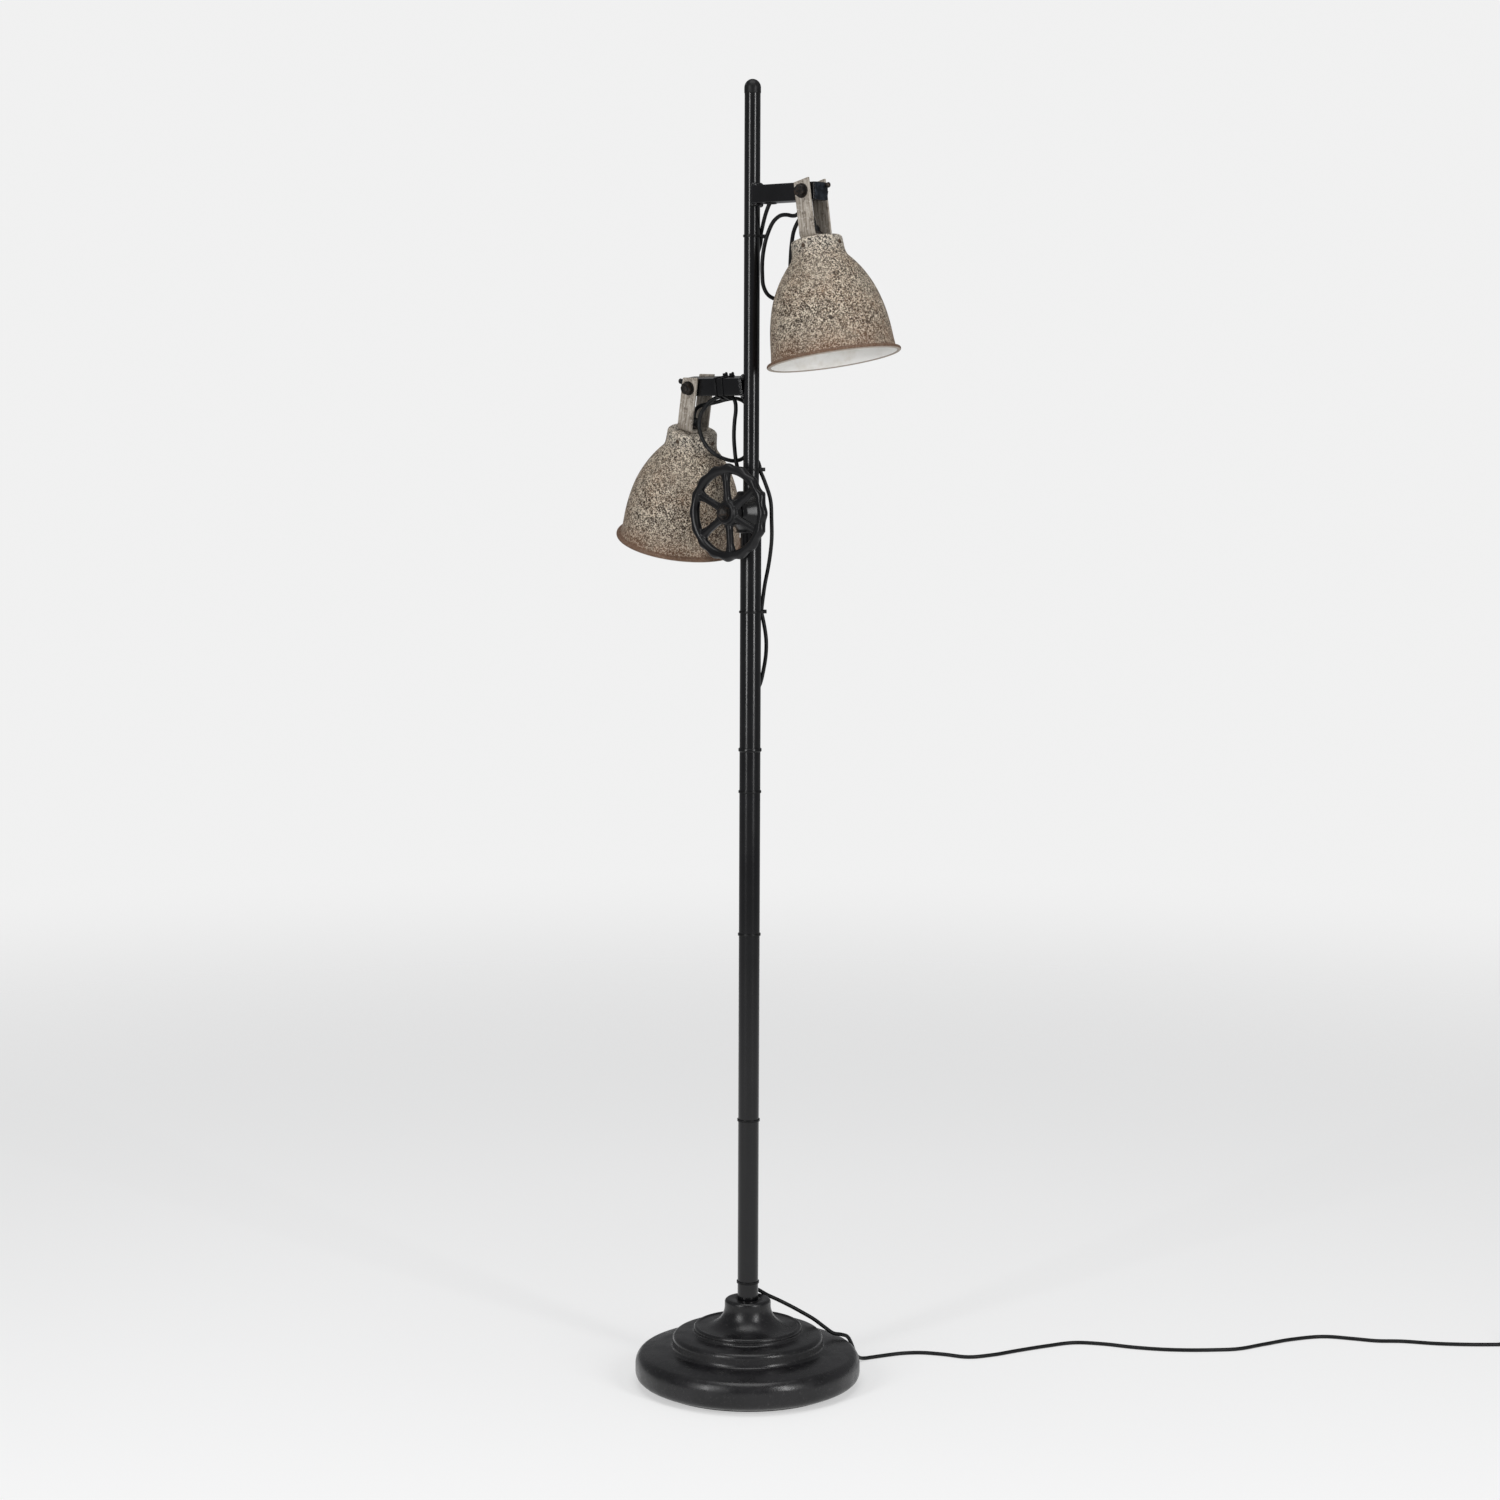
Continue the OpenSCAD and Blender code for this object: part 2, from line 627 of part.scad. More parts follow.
// Neck cup of a shade, brazed to the bell below it. z = 0 is its closed top.
module shade_neck() {
    crown = arc(neck_r - 4, -4, 4, 4, 90, 0, 4);
    inner_crown = arc(neck_r - 4, -4, 4 - shade_t, 4 - shade_t, 0, 90, 4);
    rotate_extrude($fn = 96) polygon(concat(
        [[nipple_r + 0.1, 0]], crown, [[neck_r + 0.5, -12], [neck_r + 1.1, -neck_h], [neck_r + 0.1, -neck_h]],
        [[neck_r - 0.5, -12]], inner_crown, [[nipple_r + 0.1, -shade_t]]));
}

// Bell of a shade, spun from sheet, with a rolled lip
module shade_bell() {
    bell = [[neck_r + 1.1, -neck_h], [33.2, -23], [39, -30], [48, -42], [56, -56], [62, -70], [66.5, -85],
        [69.5, -99], [71.5, -113], [72.8, -127], [73.5, -136.5]];
    inner_bell = [for (i = [len(bell) - 1:-1:1]) bell[i] - [shade_t, 0.3]];
    lip = concat([[75, -139.2]], arc(77, -141.5, 2.5, 2.5, 90, -90, 6), [[74.5, -142.6]]);
    rotate_extrude($fn = 96) polygon(concat(bell, lip, inner_bell, [[neck_r + 0.1, -neck_h]]));
}

// U-shaped strap bracket. Its foot is bent by the angles in set, and cut slants the tops of its straps.
module bracket(set, cut) {
    spare = 8;
    strap_top = 13;
    outer = strap_gap + 2 * strap_t;
    difference() {
        union() {
            for (y = [-outer / 2, strap_gap / 2]) translate([-strap_w / 2, y, plate_z - spare])
                cube([strap_w, strap_t, strap_top + 2 * spare - plate_z]);
            translate([0, 0, plate_z]) rotate([set[0], set[1], 0])
                translate([0.3 - strap_w / 2, 1.5 - outer / 2, -spare])
                cube([strap_w - 0.6, outer - 3, spare]);
        }
        translate([0, outer, 0]) rotate([90, 0, 0]) cylinder(r = bolt_r + 0.03, h = 2 * outer);
        translate([0, 0, strap_top]) rotate([0, -cut, 0]) translate([-outer, -outer, 0])
            cube([2 * outer, 2 * outer, outer]);
        translate([0, 0, plate_z]) rotate([set[0], set[1], 0]) {
            translate([0, 0, -2 * spare]) cylinder(r = nipple_r + 0.1, h = 3 * spare);
            translate([-outer, -outer, -outer - strap_t]) cube([2 * outer, 2 * outer, outer]);
        }
    }
}

// Washers outside the straps, and spacers between the straps and the arm
module pivot_washers() {
    spacer_y = arm_w / 2 + 0.3;
    for (y = [-1, 1]) mirror([0, y < 0 ? 1 : 0, 0]) rotate([-90, 0, 0]) {
        translate([0, 0, strap_gap / 2 + strap_t]) hoop(8.5, bolt_r + 0.03, 1.6);
        translate([0, 0, spacer_y]) hoop(8.5, bolt_r + 0.03, strap_gap / 2 - spacer_y);
    }
}

// Threaded tube that holds the bracket, the shade and the holder together
module nipple() {
    translate([0, 0, -14]) hoop(nipple_r, 3.4, 25);
}

module locknut() {
    translate([0, 0, strap_t]) difference() {
        hex(15, 4);
        translate([0, 0, -1]) cylinder(r = nipple_r + 0.02, h = 6);
    }
}

module cord_grip() {
    translate([0, 0, strap_t + 4]) difference() {
        union() {
            cylinder(r = 6.2, h = 4);
            translate([0, 0, 4]) cylinder(r1 = 6.2, r2 = 4.6, h = 4);
        }
        translate([0, 0, -1]) cylinder(r = nipple_r + 0.02, h = 5);
        translate([0, 0, -1]) cylinder(r = cord_r, h = 12);
    }
}

module holder_cap() {
    difference() {
        union() {
            translate([0, 0, -shade_t - 5]) cylinder(r = 8, h = 5);
            translate([0, 0, -shade_t - 19]) cylinder(r1 = holder_r, r2 = 14, h = 14);
        }
        translate([0, 0, -shade_t - 20]) cylinder(r = holder_r - 3.4, h = 12);
        translate([0, 0, -shade_t - 20]) cylinder(r = nipple_r + 0.1, h = 22);
    }
}

module holder_body() {
    translate([0, 0, -shade_t - 61]) difference() {
        cylinder(r = holder_r, h = 42);
        translate([0, 0, -1]) cylinder(r = 14.4, h = 39);
    }
}

module holder_insert() {
    translate([0, 0, -shade_t - 60]) {
        hoop(14.35, 13.2, 34);
        translate([0, 0, 34]) cylinder(r = 14.35, h = 3);
    }
}

module upper_shade_neck() {
    color(aged) at_upper_head() at_foot(upper_set) shade_neck();
}

module upper_shade() {
    color(aged) at_upper_head() at_foot(upper_set) shade_bell();
}

module upper_bracket() {
    color(steel) at_upper_head() bracket(upper_set, upper_cut);
}

module upper_pivot_washers() {
    color(steel) at_upper_head() pivot_washers();
}

module upper_nipple() {
    color(brass) at_upper_head() at_foot(upper_set) nipple();
}

module upper_locknut() {
    color(steel) at_upper_head() at_foot(upper_set) locknut();
}

module upper_cord_grip() {
    color(black) at_upper_head() at_foot(upper_set) cord_grip();
}

module upper_holder_cap() {
    color(black) at_upper_head() at_foot(upper_set) holder_cap();
}

module upper_holder_body() {
    color(white) at_upper_head() at_foot(upper_set) holder_body();
}

module upper_holder_insert() {
    color(brass) at_upper_head() at_foot(upper_set) holder_insert();
}

module lower_shade_neck() {
    color(aged) at_lower_head() at_foot(lower_set) shade_neck();
}

module lower_shade() {
    color(aged) at_lower_head() at_foot(lower_set) shade_bell();
}

module lower_bracket() {
    color(steel) at_lower_head() bracket(lower_set, lower_cut);
}

module lower_pivot_washers() {
    color(steel) at_lower_head() pivot_washers();
}

module lower_nipple() {
    color(brass) at_lower_head() at_foot(lower_set) nipple();
}

module lower_locknut() {
    color(steel) at_lower_head() at_foot(lower_set) locknut();
}

module lower_cord_grip() {
    color(black) at_lower_head() at_foot(lower_set) cord_grip();
}

module lower_holder_cap() {
    color(black) at_lower_head() at_foot(lower_set) holder_cap();
}

module lower_holder_body() {
    color(white) at_lower_head() at_foot(lower_set) holder_body();
}

module lower_holder_insert() {
    color(brass) at_lower_head() at_foot(lower_set) holder_insert();
}

base_casting();
base_pad();
base_bolt();
base_washer();
tube_foot_plug();
lower_tube();
joint_sleeve();
joint_ring();
middle_tube();
clamp_collar();
stand_cable_ties();
pole_cord();
slack_cord();
mains_cord();
mains_coil();
plug_body();
plug_pins();
switch_base();
switch_cover();
switch_button();
guide_bush();
mast_tube();
mast_cap();
mast_snap_rings();
upper_arm();
lower_arm();
arm_end_plugs();
arm_end_screws();
pivot_bolts();
pivot_nuts();
mast_cable_ties();
cord_junction();
mast_cord();
upper_lamp_cord();
lower_lamp_cord();
clamp_pad();
clamp_screw();
handwheel();
wheel_washer();
wheel_nut();
upper_shade_neck();
upper_shade();
upper_bracket();
upper_pivot_washers();
upper_nipple();
upper_locknut();
upper_cord_grip();
upper_holder_cap();
upper_holder_body();
upper_holder_insert();
lower_shade_neck();
lower_shade();
lower_bracket();
lower_pivot_washers();
lower_nipple();
lower_locknut();
lower_cord_grip();
lower_holder_cap();
lower_holder_body();
lower_holder_insert();
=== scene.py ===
import json
import math

import bmesh
import bpy
from mathutils import Matrix, Vector, noise


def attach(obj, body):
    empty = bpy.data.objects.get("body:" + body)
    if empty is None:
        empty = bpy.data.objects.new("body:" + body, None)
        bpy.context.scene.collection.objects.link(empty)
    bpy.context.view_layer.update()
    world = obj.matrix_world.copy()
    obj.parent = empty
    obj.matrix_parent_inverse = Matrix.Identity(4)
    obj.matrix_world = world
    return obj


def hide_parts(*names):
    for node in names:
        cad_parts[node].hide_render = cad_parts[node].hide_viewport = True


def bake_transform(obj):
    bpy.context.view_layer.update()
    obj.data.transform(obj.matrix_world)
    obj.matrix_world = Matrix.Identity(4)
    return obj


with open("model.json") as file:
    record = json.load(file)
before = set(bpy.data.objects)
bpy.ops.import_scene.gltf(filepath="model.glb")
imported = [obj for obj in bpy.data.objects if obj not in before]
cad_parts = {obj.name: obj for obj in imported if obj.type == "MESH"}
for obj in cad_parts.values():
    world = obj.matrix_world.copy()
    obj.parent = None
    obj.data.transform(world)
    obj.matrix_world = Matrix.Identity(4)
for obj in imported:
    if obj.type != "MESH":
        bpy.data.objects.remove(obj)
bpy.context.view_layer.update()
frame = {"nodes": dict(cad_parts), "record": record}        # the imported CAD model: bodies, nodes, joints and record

MM = 0.001
scene = bpy.context.scene


# ---- Camera, light and floor ----

CAMERA_AZIMUTH = 39.0
CAMERA_REACH = 3.676
CAMERA_HEIGHT = 1.159
CAMERA_FALL = 5.8        # degrees below level
CAMERA_ROLL = 0.23


def shift(x, y, z):
    return Matrix.Translation((x, y, z))


def turn(angle, axis):
    return Matrix.Rotation(math.radians(angle), 4, axis)


def on_circle(azimuth, reach, height):
    """Point at that azimuth round the pole: 0 is in front, along -Y, and 90 is along +X."""
    a = math.radians(azimuth)
    return Vector((reach * math.sin(a), -reach * math.cos(a), height))


def add_camera():
    data = bpy.data.cameras.new("camera")
    data.lens = 73.2
    data.sensor_width = 36.0
    data.clip_start, data.clip_end = 0.1, 100.0
    camera = bpy.data.objects.new("camera", data)
    scene.collection.objects.link(camera)
    aim = turn(CAMERA_AZIMUTH, "Z") @ turn(90 - CAMERA_FALL, "X") @ turn(CAMERA_ROLL, "Z")
    camera.matrix_world = shift(*on_circle(CAMERA_AZIMUTH, CAMERA_REACH, CAMERA_HEIGHT)) @ aim
    scene.camera = camera


def add_softbox(name, place, target, size, power):
    data = bpy.data.lights.new(name, "AREA")
    data.shape = "RECTANGLE"
    data.size, data.size_y = size
    data.energy = power
    light = bpy.data.objects.new(name, data)
    scene.collection.objects.link(light)
    light.location = place
    light.rotation_euler = (Vector(target) - Vector(place)).to_track_quat("-Z", "Y").to_euler()
    light.visible_camera = False


def add_lights():
    for name, azimuth, power in (("softbox_left", -2.0, 44.0), ("softbox_right", 80.0, 44.0)):
        place = on_circle(azimuth, 3.0, 1.6)
        add_softbox(name, place, (0, 0, 1.6), (0.42, 2.1), power)
    add_softbox("softbox_top", (0.4, -0.6, 4.2), (0, 0, 0.6), (2.6, 2.6), 60.0)


def add_node(tree, kind, inputs, **settings):
    """Outputs of a new shader node. Each input is a value, or an output that is linked to it."""
    node = tree.nodes.new("ShaderNode" + kind)
    for key, value in settings.items():
        setattr(node, key, value)
    for key, value in inputs.items():
        if isinstance(value, bpy.types.NodeSocket):
            tree.links.new(value, node.inputs[key])
        else:
            node.inputs[key].default_value = value
    return node.outputs


def add_world():
    """White to the camera, and a dimmer studio to everything else."""
    world = bpy.data.worlds.new("studio")
    world.use_nodes = True
    tree = world.node_tree
    tree.nodes.clear()
    lit = add_node(tree, "Background", {"Color": (0.97, 0.98, 1.0, 1), "Strength": 0.26})
    seen = add_node(tree, "Background", {"Color": (0.877, 0.877, 0.877, 1)})
    path = add_node(tree, "LightPath", {})
    mix = add_node(tree, "MixShader", {"Fac": path["Is Camera Ray"], 1: lit[0], 2: seen[0]})
    add_node(tree, "OutputWorld", {"Surface": mix[0]})
    scene.world = world


def add_floor():
    """Pale disc that fades into the background."""
    bm = bmesh.new()
    bmesh.ops.create_circle(bm, cap_ends=True, segments=96, radius=6.0)
    mesh = bpy.data.meshes.new("floor")
    bm.to_mesh(mesh)
    bm.free()
    floor = bpy.data.objects.new("floor", mesh)
    scene.collection.objects.link(floor)
    material = bpy.data.materials.new("floor_pale")
    material.use_nodes = True
    tree = material.node_tree
    tree.nodes.clear()
    matte = add_node(tree, "BsdfDiffuse", {"Color": (0.5, 0.5, 0.5, 1)})
    glow = add_node(tree, "Emission", {"Color": (1, 1, 1, 1), "Strength": 0.46})
    added = add_node(tree, "AddShader", {0: matte[0], 1: glow[0]})
    clear = add_node(tree, "BsdfTransparent", {})
    place = add_node(tree, "TexCoord", {})
    length = add_node(tree, "VectorMath", {0: place["Object"]}, operation="LENGTH")
    span = {"Value": length["Value"], "From Min": 1.2, "From Max": 4.5}
    fade = add_node(tree, "MapRange", span, interpolation_type="SMOOTHSTEP")
    mixed = add_node(tree, "MixShader", {"Fac": fade[0], 1: added[0], 2: clear[0]})
    add_node(tree, "OutputMaterial", {"Surface": mixed[0]})
    mesh.materials.append(material)


# ---- Mesh helpers ----

def make_object(name, mesh, material, place=None, sharp=35.0):
    """Links a mesh as an object with soft normals, apart from edges sharper than that angle."""
    mesh.materials.append(MATERIALS[material])
    mesh.shade_smooth()
    mesh.set_sharp_from_angle(angle=math.radians(sharp))
    obj = bpy.data.objects.new(name, mesh)
    scene.collection.objects.link(obj)
    if place is not None:
        obj.matrix_world = place
    return obj


def make_mesh(name, verts, faces):
    mesh = bpy.data.meshes.new(name)
    mesh.from_pydata([Vector(v) * MM for v in verts], [], faces)
    mesh.update()
    return mesh


def rounded(points, steps=4):
    """Closed outline of (x, y, radius) corners, each rounded to its radius."""
    out = []
    count = len(points)
    for i, (x, y, radius) in enumerate(points):
        here = Vector((x, y))
        if radius <= 0:
            out.append((x, y))
            continue
        before, after = Vector(points[i - 1][:2]), Vector(points[(i + 1) % count][:2])
        back, ahead = before - here, after - here
        turn = back.angle(ahead)
        reach = min(radius / math.tan(turn / 2), 0.48 * back.length, 0.48 * ahead.length)
        a, b = here + back.normalized() * reach, here + ahead.normalized() * reach
        for k in range(steps + 1):
            t = k / steps
            p = a * (1 - t) ** 2 + here * 2 * t * (1 - t) + b * t ** 2
            out.append((p.x, p.y))
    return out


def arc(cx, cy, rx, ry, start, end, steps):
    turns = [math.radians(start + (end - start) * k / steps) for k in range(steps + 1)]
    return [(cx + rx * math.cos(t), cy + ry * math.sin(t)) for t in turns]


def lathed(profile, segments=96, wobble=None):
    """Vertices and faces of a closed outline (radius, height) turned round Z.

    wobble gives how far the radius moves, from the angle, the radius and the height."""
    verts, faces, rings = [], [], []
    for r, z in profile:
        if r < 1e-6:
            rings.append([len(verts)])
            verts.append((0, 0, z))
            continue
        ring = []
        for k in range(segments):
            a = 2 * math.pi * k / segments
            rr = r + (wobble(a, r, z) if wobble else 0)
            ring.append(len(verts))
            verts.append((rr * math.cos(a), rr * math.sin(a), z))
        rings.append(ring)
    for i in range(len(rings)):
        low, high = rings[i], rings[(i + 1) % len(rings)]
        if len(low) == 1 and len(high) == 1:
            continue
        for k in range(segments):
            j = (k + 1) % segments
            if len(low) == 1:
                faces.append((low[0], high[j], high[k]))
            elif len(high) == 1:
                faces.append((low[k], low[j], high[0]))
            else:
                faces.append((low[k], low[j], high[j], high[k]))
    return verts, faces


def outward(mesh):
    """Turns all faces to the outside."""
    bm = bmesh.new()
    bm.from_mesh(mesh)
    bmesh.ops.recalc_face_normals(bm, faces=bm.faces)
    bm.to_mesh(mesh)
    bm.free()
    return mesh


def lathe(name, profile, material, place=None, segments=96, sharp=35.0, wobble=None):
    mesh = outward(make_mesh(name, *lathed(profile, segments, wobble)))
    return make_object(name, mesh, material, place, sharp)


def joined(name, parts):
    """One mesh of several (vertices, faces) shells."""
    verts, faces = [], []
    for part_verts, part_faces in parts:
        first = len(verts)
        verts.extend(part_verts)
        faces.extend([tuple(i + first for i in face) for face in part_faces])
    return outward(make_mesh(name, verts, faces))


def moved(shell, matrix):
    """A shell with its vertices moved, in millimetres."""
    verts, faces = shell
    return [tuple(matrix @ Vector(v)) for v in verts], faces


def ring_faces(rings, count):
    """Faces between one ring of count vertices and the next."""
    faces = []
    for low in range(0, (rings - 1) * count, count):
        high = low + count
        faces += [(low + k, low + (k + 1) % count, high + (k + 1) % count, high + k) for k in range(count)]
    return faces


def block(size, middle=(0, 0, 0)):
    """Plain box shell, which a bevel or a remesh rounds later."""
    sx, sy, sz = (s / 2 for s in size)
    verts = [(middle[0] + x * sx, middle[1] + y * sy, middle[2] + z * sz)
             for x in (-1, 1) for y in (-1, 1) for z in (-1, 1)]
    faces = [(0, 1, 3, 2), (4, 6, 7, 5), (0, 4, 5, 1), (2, 3, 7, 6), (0, 2, 6, 4), (1, 5, 7, 3)]
    return verts, faces


def prism(outline, low, high):
    """Shell of an outline (x, y) raised from low to high along Z."""
    count = len(outline)
    verts = [(x, y, z) for z in (low, high) for x, y in outline]
    caps = [tuple(range(count)), tuple(range(2 * count - 1, count - 1, -1))]
    return verts, caps + ring_faces(2, count)


def bevelled(mesh, width, segments=3, angle=40.0):
    """Rounds every edge sharper than the angle. The width is in millimetres."""
    bm = bmesh.new()
    bm.from_mesh(mesh)
    edges = [e for e in bm.edges if len(e.link_faces) == 2 and e.calc_face_angle() > math.radians(angle)]
    bmesh.ops.bevel(bm, geom=edges, offset=width * MM, segments=segments, profile=0.6, affect="EDGES",
                    clamp_overlap=True)
    bm.to_mesh(mesh)
    bm.free()
    return mesh


def cast(mesh, voxel, smooth=4, name="cast"):
    """Melts overlapping shells into one skin with soft inner corners, as a casting has.

    The voxel is in millimetres."""
    holder = bpy.data.objects.new(name, mesh)
    scene.collection.objects.link(holder)
    remesh = holder.modifiers.new("remesh", "REMESH")
    remesh.mode = "VOXEL"
    remesh.voxel_size = voxel * MM
    remesh.adaptivity = 0
    soften = holder.modifiers.new("soften", "SMOOTH")
    soften.factor = 0.5
    soften.iterations = smooth
    bpy.context.view_layer.update()
    depsgraph = bpy.context.evaluated_depsgraph_get()
    result = bpy.data.meshes.new_from_object(holder.evaluated_get(depsgraph))
    bpy.data.objects.remove(holder)
    result.name = mesh.name + "_skin"
    return result


def smooth_path(points, step=0.004):
    """Evenly stepped points along one smooth curve through the given ones, in metres."""
    pts = [Vector(p) for p in points]
    gaps = [(pts[i + 1] - pts[i]).length for i in range(len(pts) - 1)]
    slopes = []
    for i in range(len(pts)):
        if i == 0:
            slopes.append((pts[1] - pts[0]) / gaps[0])
        elif i == len(pts) - 1:
            slopes.append((pts[-1] - pts[-2]) / gaps[-1])
        else:
            back, ahead = (pts[i] - pts[i - 1]) / gaps[i - 1], (pts[i + 1] - pts[i]) / gaps[i]
            slopes.append((back * gaps[i] + ahead * gaps[i - 1]) / (gaps[i] + gaps[i - 1]))
    out = []
    for i, gap in enumerate(gaps):
        count = max(1, round(gap / step))
        for k in range(count):
            t = k / count
            h00, h10 = 2 * t ** 3 - 3 * t ** 2 + 1, t ** 3 - 2 * t ** 2 + t
            h01, h11 = -2 * t ** 3 + 3 * t ** 2, t ** 3 - t ** 2
            out.append(pts[i] * h00 + slopes[i] * gap * h10 + pts[i + 1] * h01 + slopes[i + 1] * gap * h11)
    out.append(pts[-1])
    return out


def side_vectors(path):
    """The path's direction at each point, and one square to it, carried along without twist."""
    last = len(path) - 1
    ways = [(path[min(i + 1, last)] - path[max(i - 1, 0)]).normalized() for i in range(last + 1)]
    side = Vector((0, 0, 1)) if abs(ways[0].z) < 0.9 else Vector((1, 0, 0))
    sides = []
    for way in ways:
        side = (side - way * side.dot(way)).normalized()
        sides.append(side)
    return ways, sides


def tube(name, path, radius, material, segments=14, first=0, last=None):
    """Round tube along a path, in metres, with closed ends.

    radius is one number, or one for each point of the whole path."""
    ways, sides = side_vectors(path)
    last = len(path) - 1 if last is None else last
    verts = []
    for i in range(first, last + 1):
        a = sides[i]
        b = ways[i].cross(a)
        r = radius[i] if isinstance(radius, (list, tuple)) else radius
        for k in range(segments):
            t = 2 * math.pi * k / segments
            verts.append(path[i] + (a * math.cos(t) + b * math.sin(t)) * r)
    count = last - first + 1
    faces = ring_faces(count, segments)
    faces.append(tuple(reversed(range(segments))))
    faces.append(tuple(range((count - 1) * segments, count * segments)))
    mesh = bpy.data.meshes.new(name)
    mesh.from_pydata(verts, [], faces)
    return make_object(name, outward(mesh), material, sharp=60.0)


def ribbon(outline, width, thickness, closed=True):
    """Shell of a flat band that follows an outline (x, y), raised along Z and thickened outwards."""
    count = len(outline)
    verts = []
    for i in range(count):
        before = Vector(outline[i - 1] if closed or i else outline[i])
        after = Vector(outline[(i + 1) % count] if closed or i < count - 1 else outline[i])
        way = (after - before).normalized()
        out = Vector((way.y, -way.x)) * thickness
        x, y = outline[i]
        for dx, dy in ((0, 0), (out.x, out.y)):
            for z in (-width / 2, width / 2):
                verts.append((x + dx, y + dy, z))
    faces = []
    for i in range(count if closed else count - 1):
        a, b = 4 * i, 4 * ((i + 1) % count)
        faces += [(a, b, b + 1, a + 1), (a + 2, a + 3, b + 3, b + 2), (a, a + 2, b + 2, b)]
        faces.append((a + 1, b + 1, b + 3, a + 3))
    if not closed:
        end = 4 * (count - 1)
        faces += [(0, 1, 3, 2), (end, end + 2, end + 3, end + 1)]
    return verts, faces


def hexagon(across, height, hole=0.0, turned=0.0, both=False):
    """Shell of a bolt head or nut with chamfered corners, its foot at z = 0."""
    steps = 48
    flat = across / 2
    chamfer = 0.62       # fall of the chamfer for each millimetre outwards
    rings = [[] for _ in range(6)]
    for k in range(steps):
        a = 2 * math.pi * k / steps
        corner = flat / math.cos((a + math.pi / 6) % (math.pi / 3) - math.pi / 6)
        drop = (corner - flat) * chamfer
        levels = [(hole, height - 0.4), (hole + 0.5, height), (flat * 0.985, height),
                  (corner, height - 0.25 - drop), (corner, drop + 0.2 if both else 0.0), (flat * 0.985, 0.0)]
        for ring, (radius, z) in zip(rings, levels):
            ring.append((radius * math.cos(a + turned), radius * math.sin(a + turned), z))
    ends = [tuple(range(steps)), tuple(range(5 * steps, 6 * steps))]
    return [vert for ring in rings for vert in ring], ring_faces(len(rings), steps) + ends


# ---- Routes of the cords, in metres ----

POLE_ROUTE = [
    (-0.007, 0.0135, 0.127), (-0.0095, 0.0118, 0.15), (-0.0098, 0.0116, 0.26), (-0.0098, 0.0116, 0.42),
    (-0.0098, 0.0116, 0.6), (-0.0098, 0.0116, 0.735), (-0.0106, 0.0127, 0.77), (-0.0108, 0.013, 0.786),
    (-0.0106, 0.0127, 0.802), (-0.0096, 0.0119, 0.83), (-0.005, 0.0146, 0.85), (0.002, 0.017, 0.866),
    (0.0065, 0.0175, 0.883), (0.0093, 0.0183, 0.901), (0.0096, 0.0183, 0.919), (0.0077, 0.0166, 0.937),
    (0.0052, 0.0142, 0.953),
]
SLACK_ROUTE = [
    (0.0052, 0.0142, 0.953), (0.0066, 0.015, 0.967), (0.0084, 0.0166, 0.985), (0.012, 0.0182, 1.005),
    (0.015, 0.0186, 1.022), (0.017, 0.0188, 1.04), (0.017, 0.0185, 1.062), (0.0153, 0.0178, 1.089),
    (0.0103, 0.0142, 1.108), (0.0048, 0.0111, 1.123),
]
JUNCTION_ROUTE = [
    (0.0046, 0.0111, 1.1246), (0.004, 0.0114, 1.1275), (0.0015, 0.0122, 1.132), (-0.0025, 0.0128, 1.1365),
    (-0.0048, 0.0128, 1.14),
]
MAST_ROUTE = [
    (-0.0075, 0.012, 1.162), (-0.0075, 0.0103, 1.17), (-0.0075, 0.0095, 1.179), (-0.0075, 0.0095, 1.189),
    (-0.0075, 0.0126, 1.2), (-0.0075, 0.0166, 1.21), (-0.0075, 0.0175, 1.219), (-0.0075, 0.0175, 1.233),
    (-0.0075, 0.0164, 1.243), (-0.0075, 0.0126, 1.253), (-0.0075, 0.0099, 1.264), (-0.0075, 0.0095, 1.276),
    (-0.0075, 0.0095, 1.32), (-0.0075, 0.0095, 1.352), (-0.0063, 0.0105, 1.364), (-0.0034, 0.0118, 1.375),
    (0.0004, 0.0122, 1.385), (0.0038, 0.0115, 1.393), (0.005, 0.0109, 1.398), (0.005, 0.0109, 1.401),
]
UPPER_ROUTE = [
    (0.005, 0.0109, 1.401), (0.005, 0.0109, 1.404), (0.0076, 0.0096, 1.41), (0.013, 0.006, 1.4185),
    (0.02, 0.002, 1.4285), (0.026, 0, 1.437), (0.031, 0, 1.4435), (0.038, 0, 1.4485), (0.047, 0, 1.4505),
    (0.057, -0.001, 1.4505), (0.066, -0.002, 1.4485), (0.073, -0.003, 1.444), (0.0772, -0.004, 1.4375),
    (0.078, -0.005, 1.431), (0.0755, -0.005, 1.4255), (0.07, -0.004, 1.4223), (0.062, -0.002, 1.422),
    (0.053, 0, 1.4236), (0.044, 0, 1.4234), (0.034, 0, 1.418), (0.025, 0, 1.405), (0.0185, 0.001, 1.39),
    (0.0145, 0.002, 1.373), (0.0135, 0.003, 1.356), (0.014, 0.005, 1.341), (0.016, 0.012, 1.331),
    (0.021, 0.02, 1.327), (0.028, 0.026, 1.33), (0.035, 0.025, 1.34), (0.041, 0.021, 1.354),
    (0.045, 0.017, 1.371), (0.049, 0.014, 1.39), (0.055, 0.011, 1.406), (0.064, 0.009, 1.4175),
    (0.072, 0.0075, 1.423), (0.079, 0.005, 1.4245), (0.0855, 0.0022, 1.4226), (0.0904, 0.0004, 1.419),
    (0.093, -0.0001, 1.4147), (0.094, -0.0002, 1.4094),
]
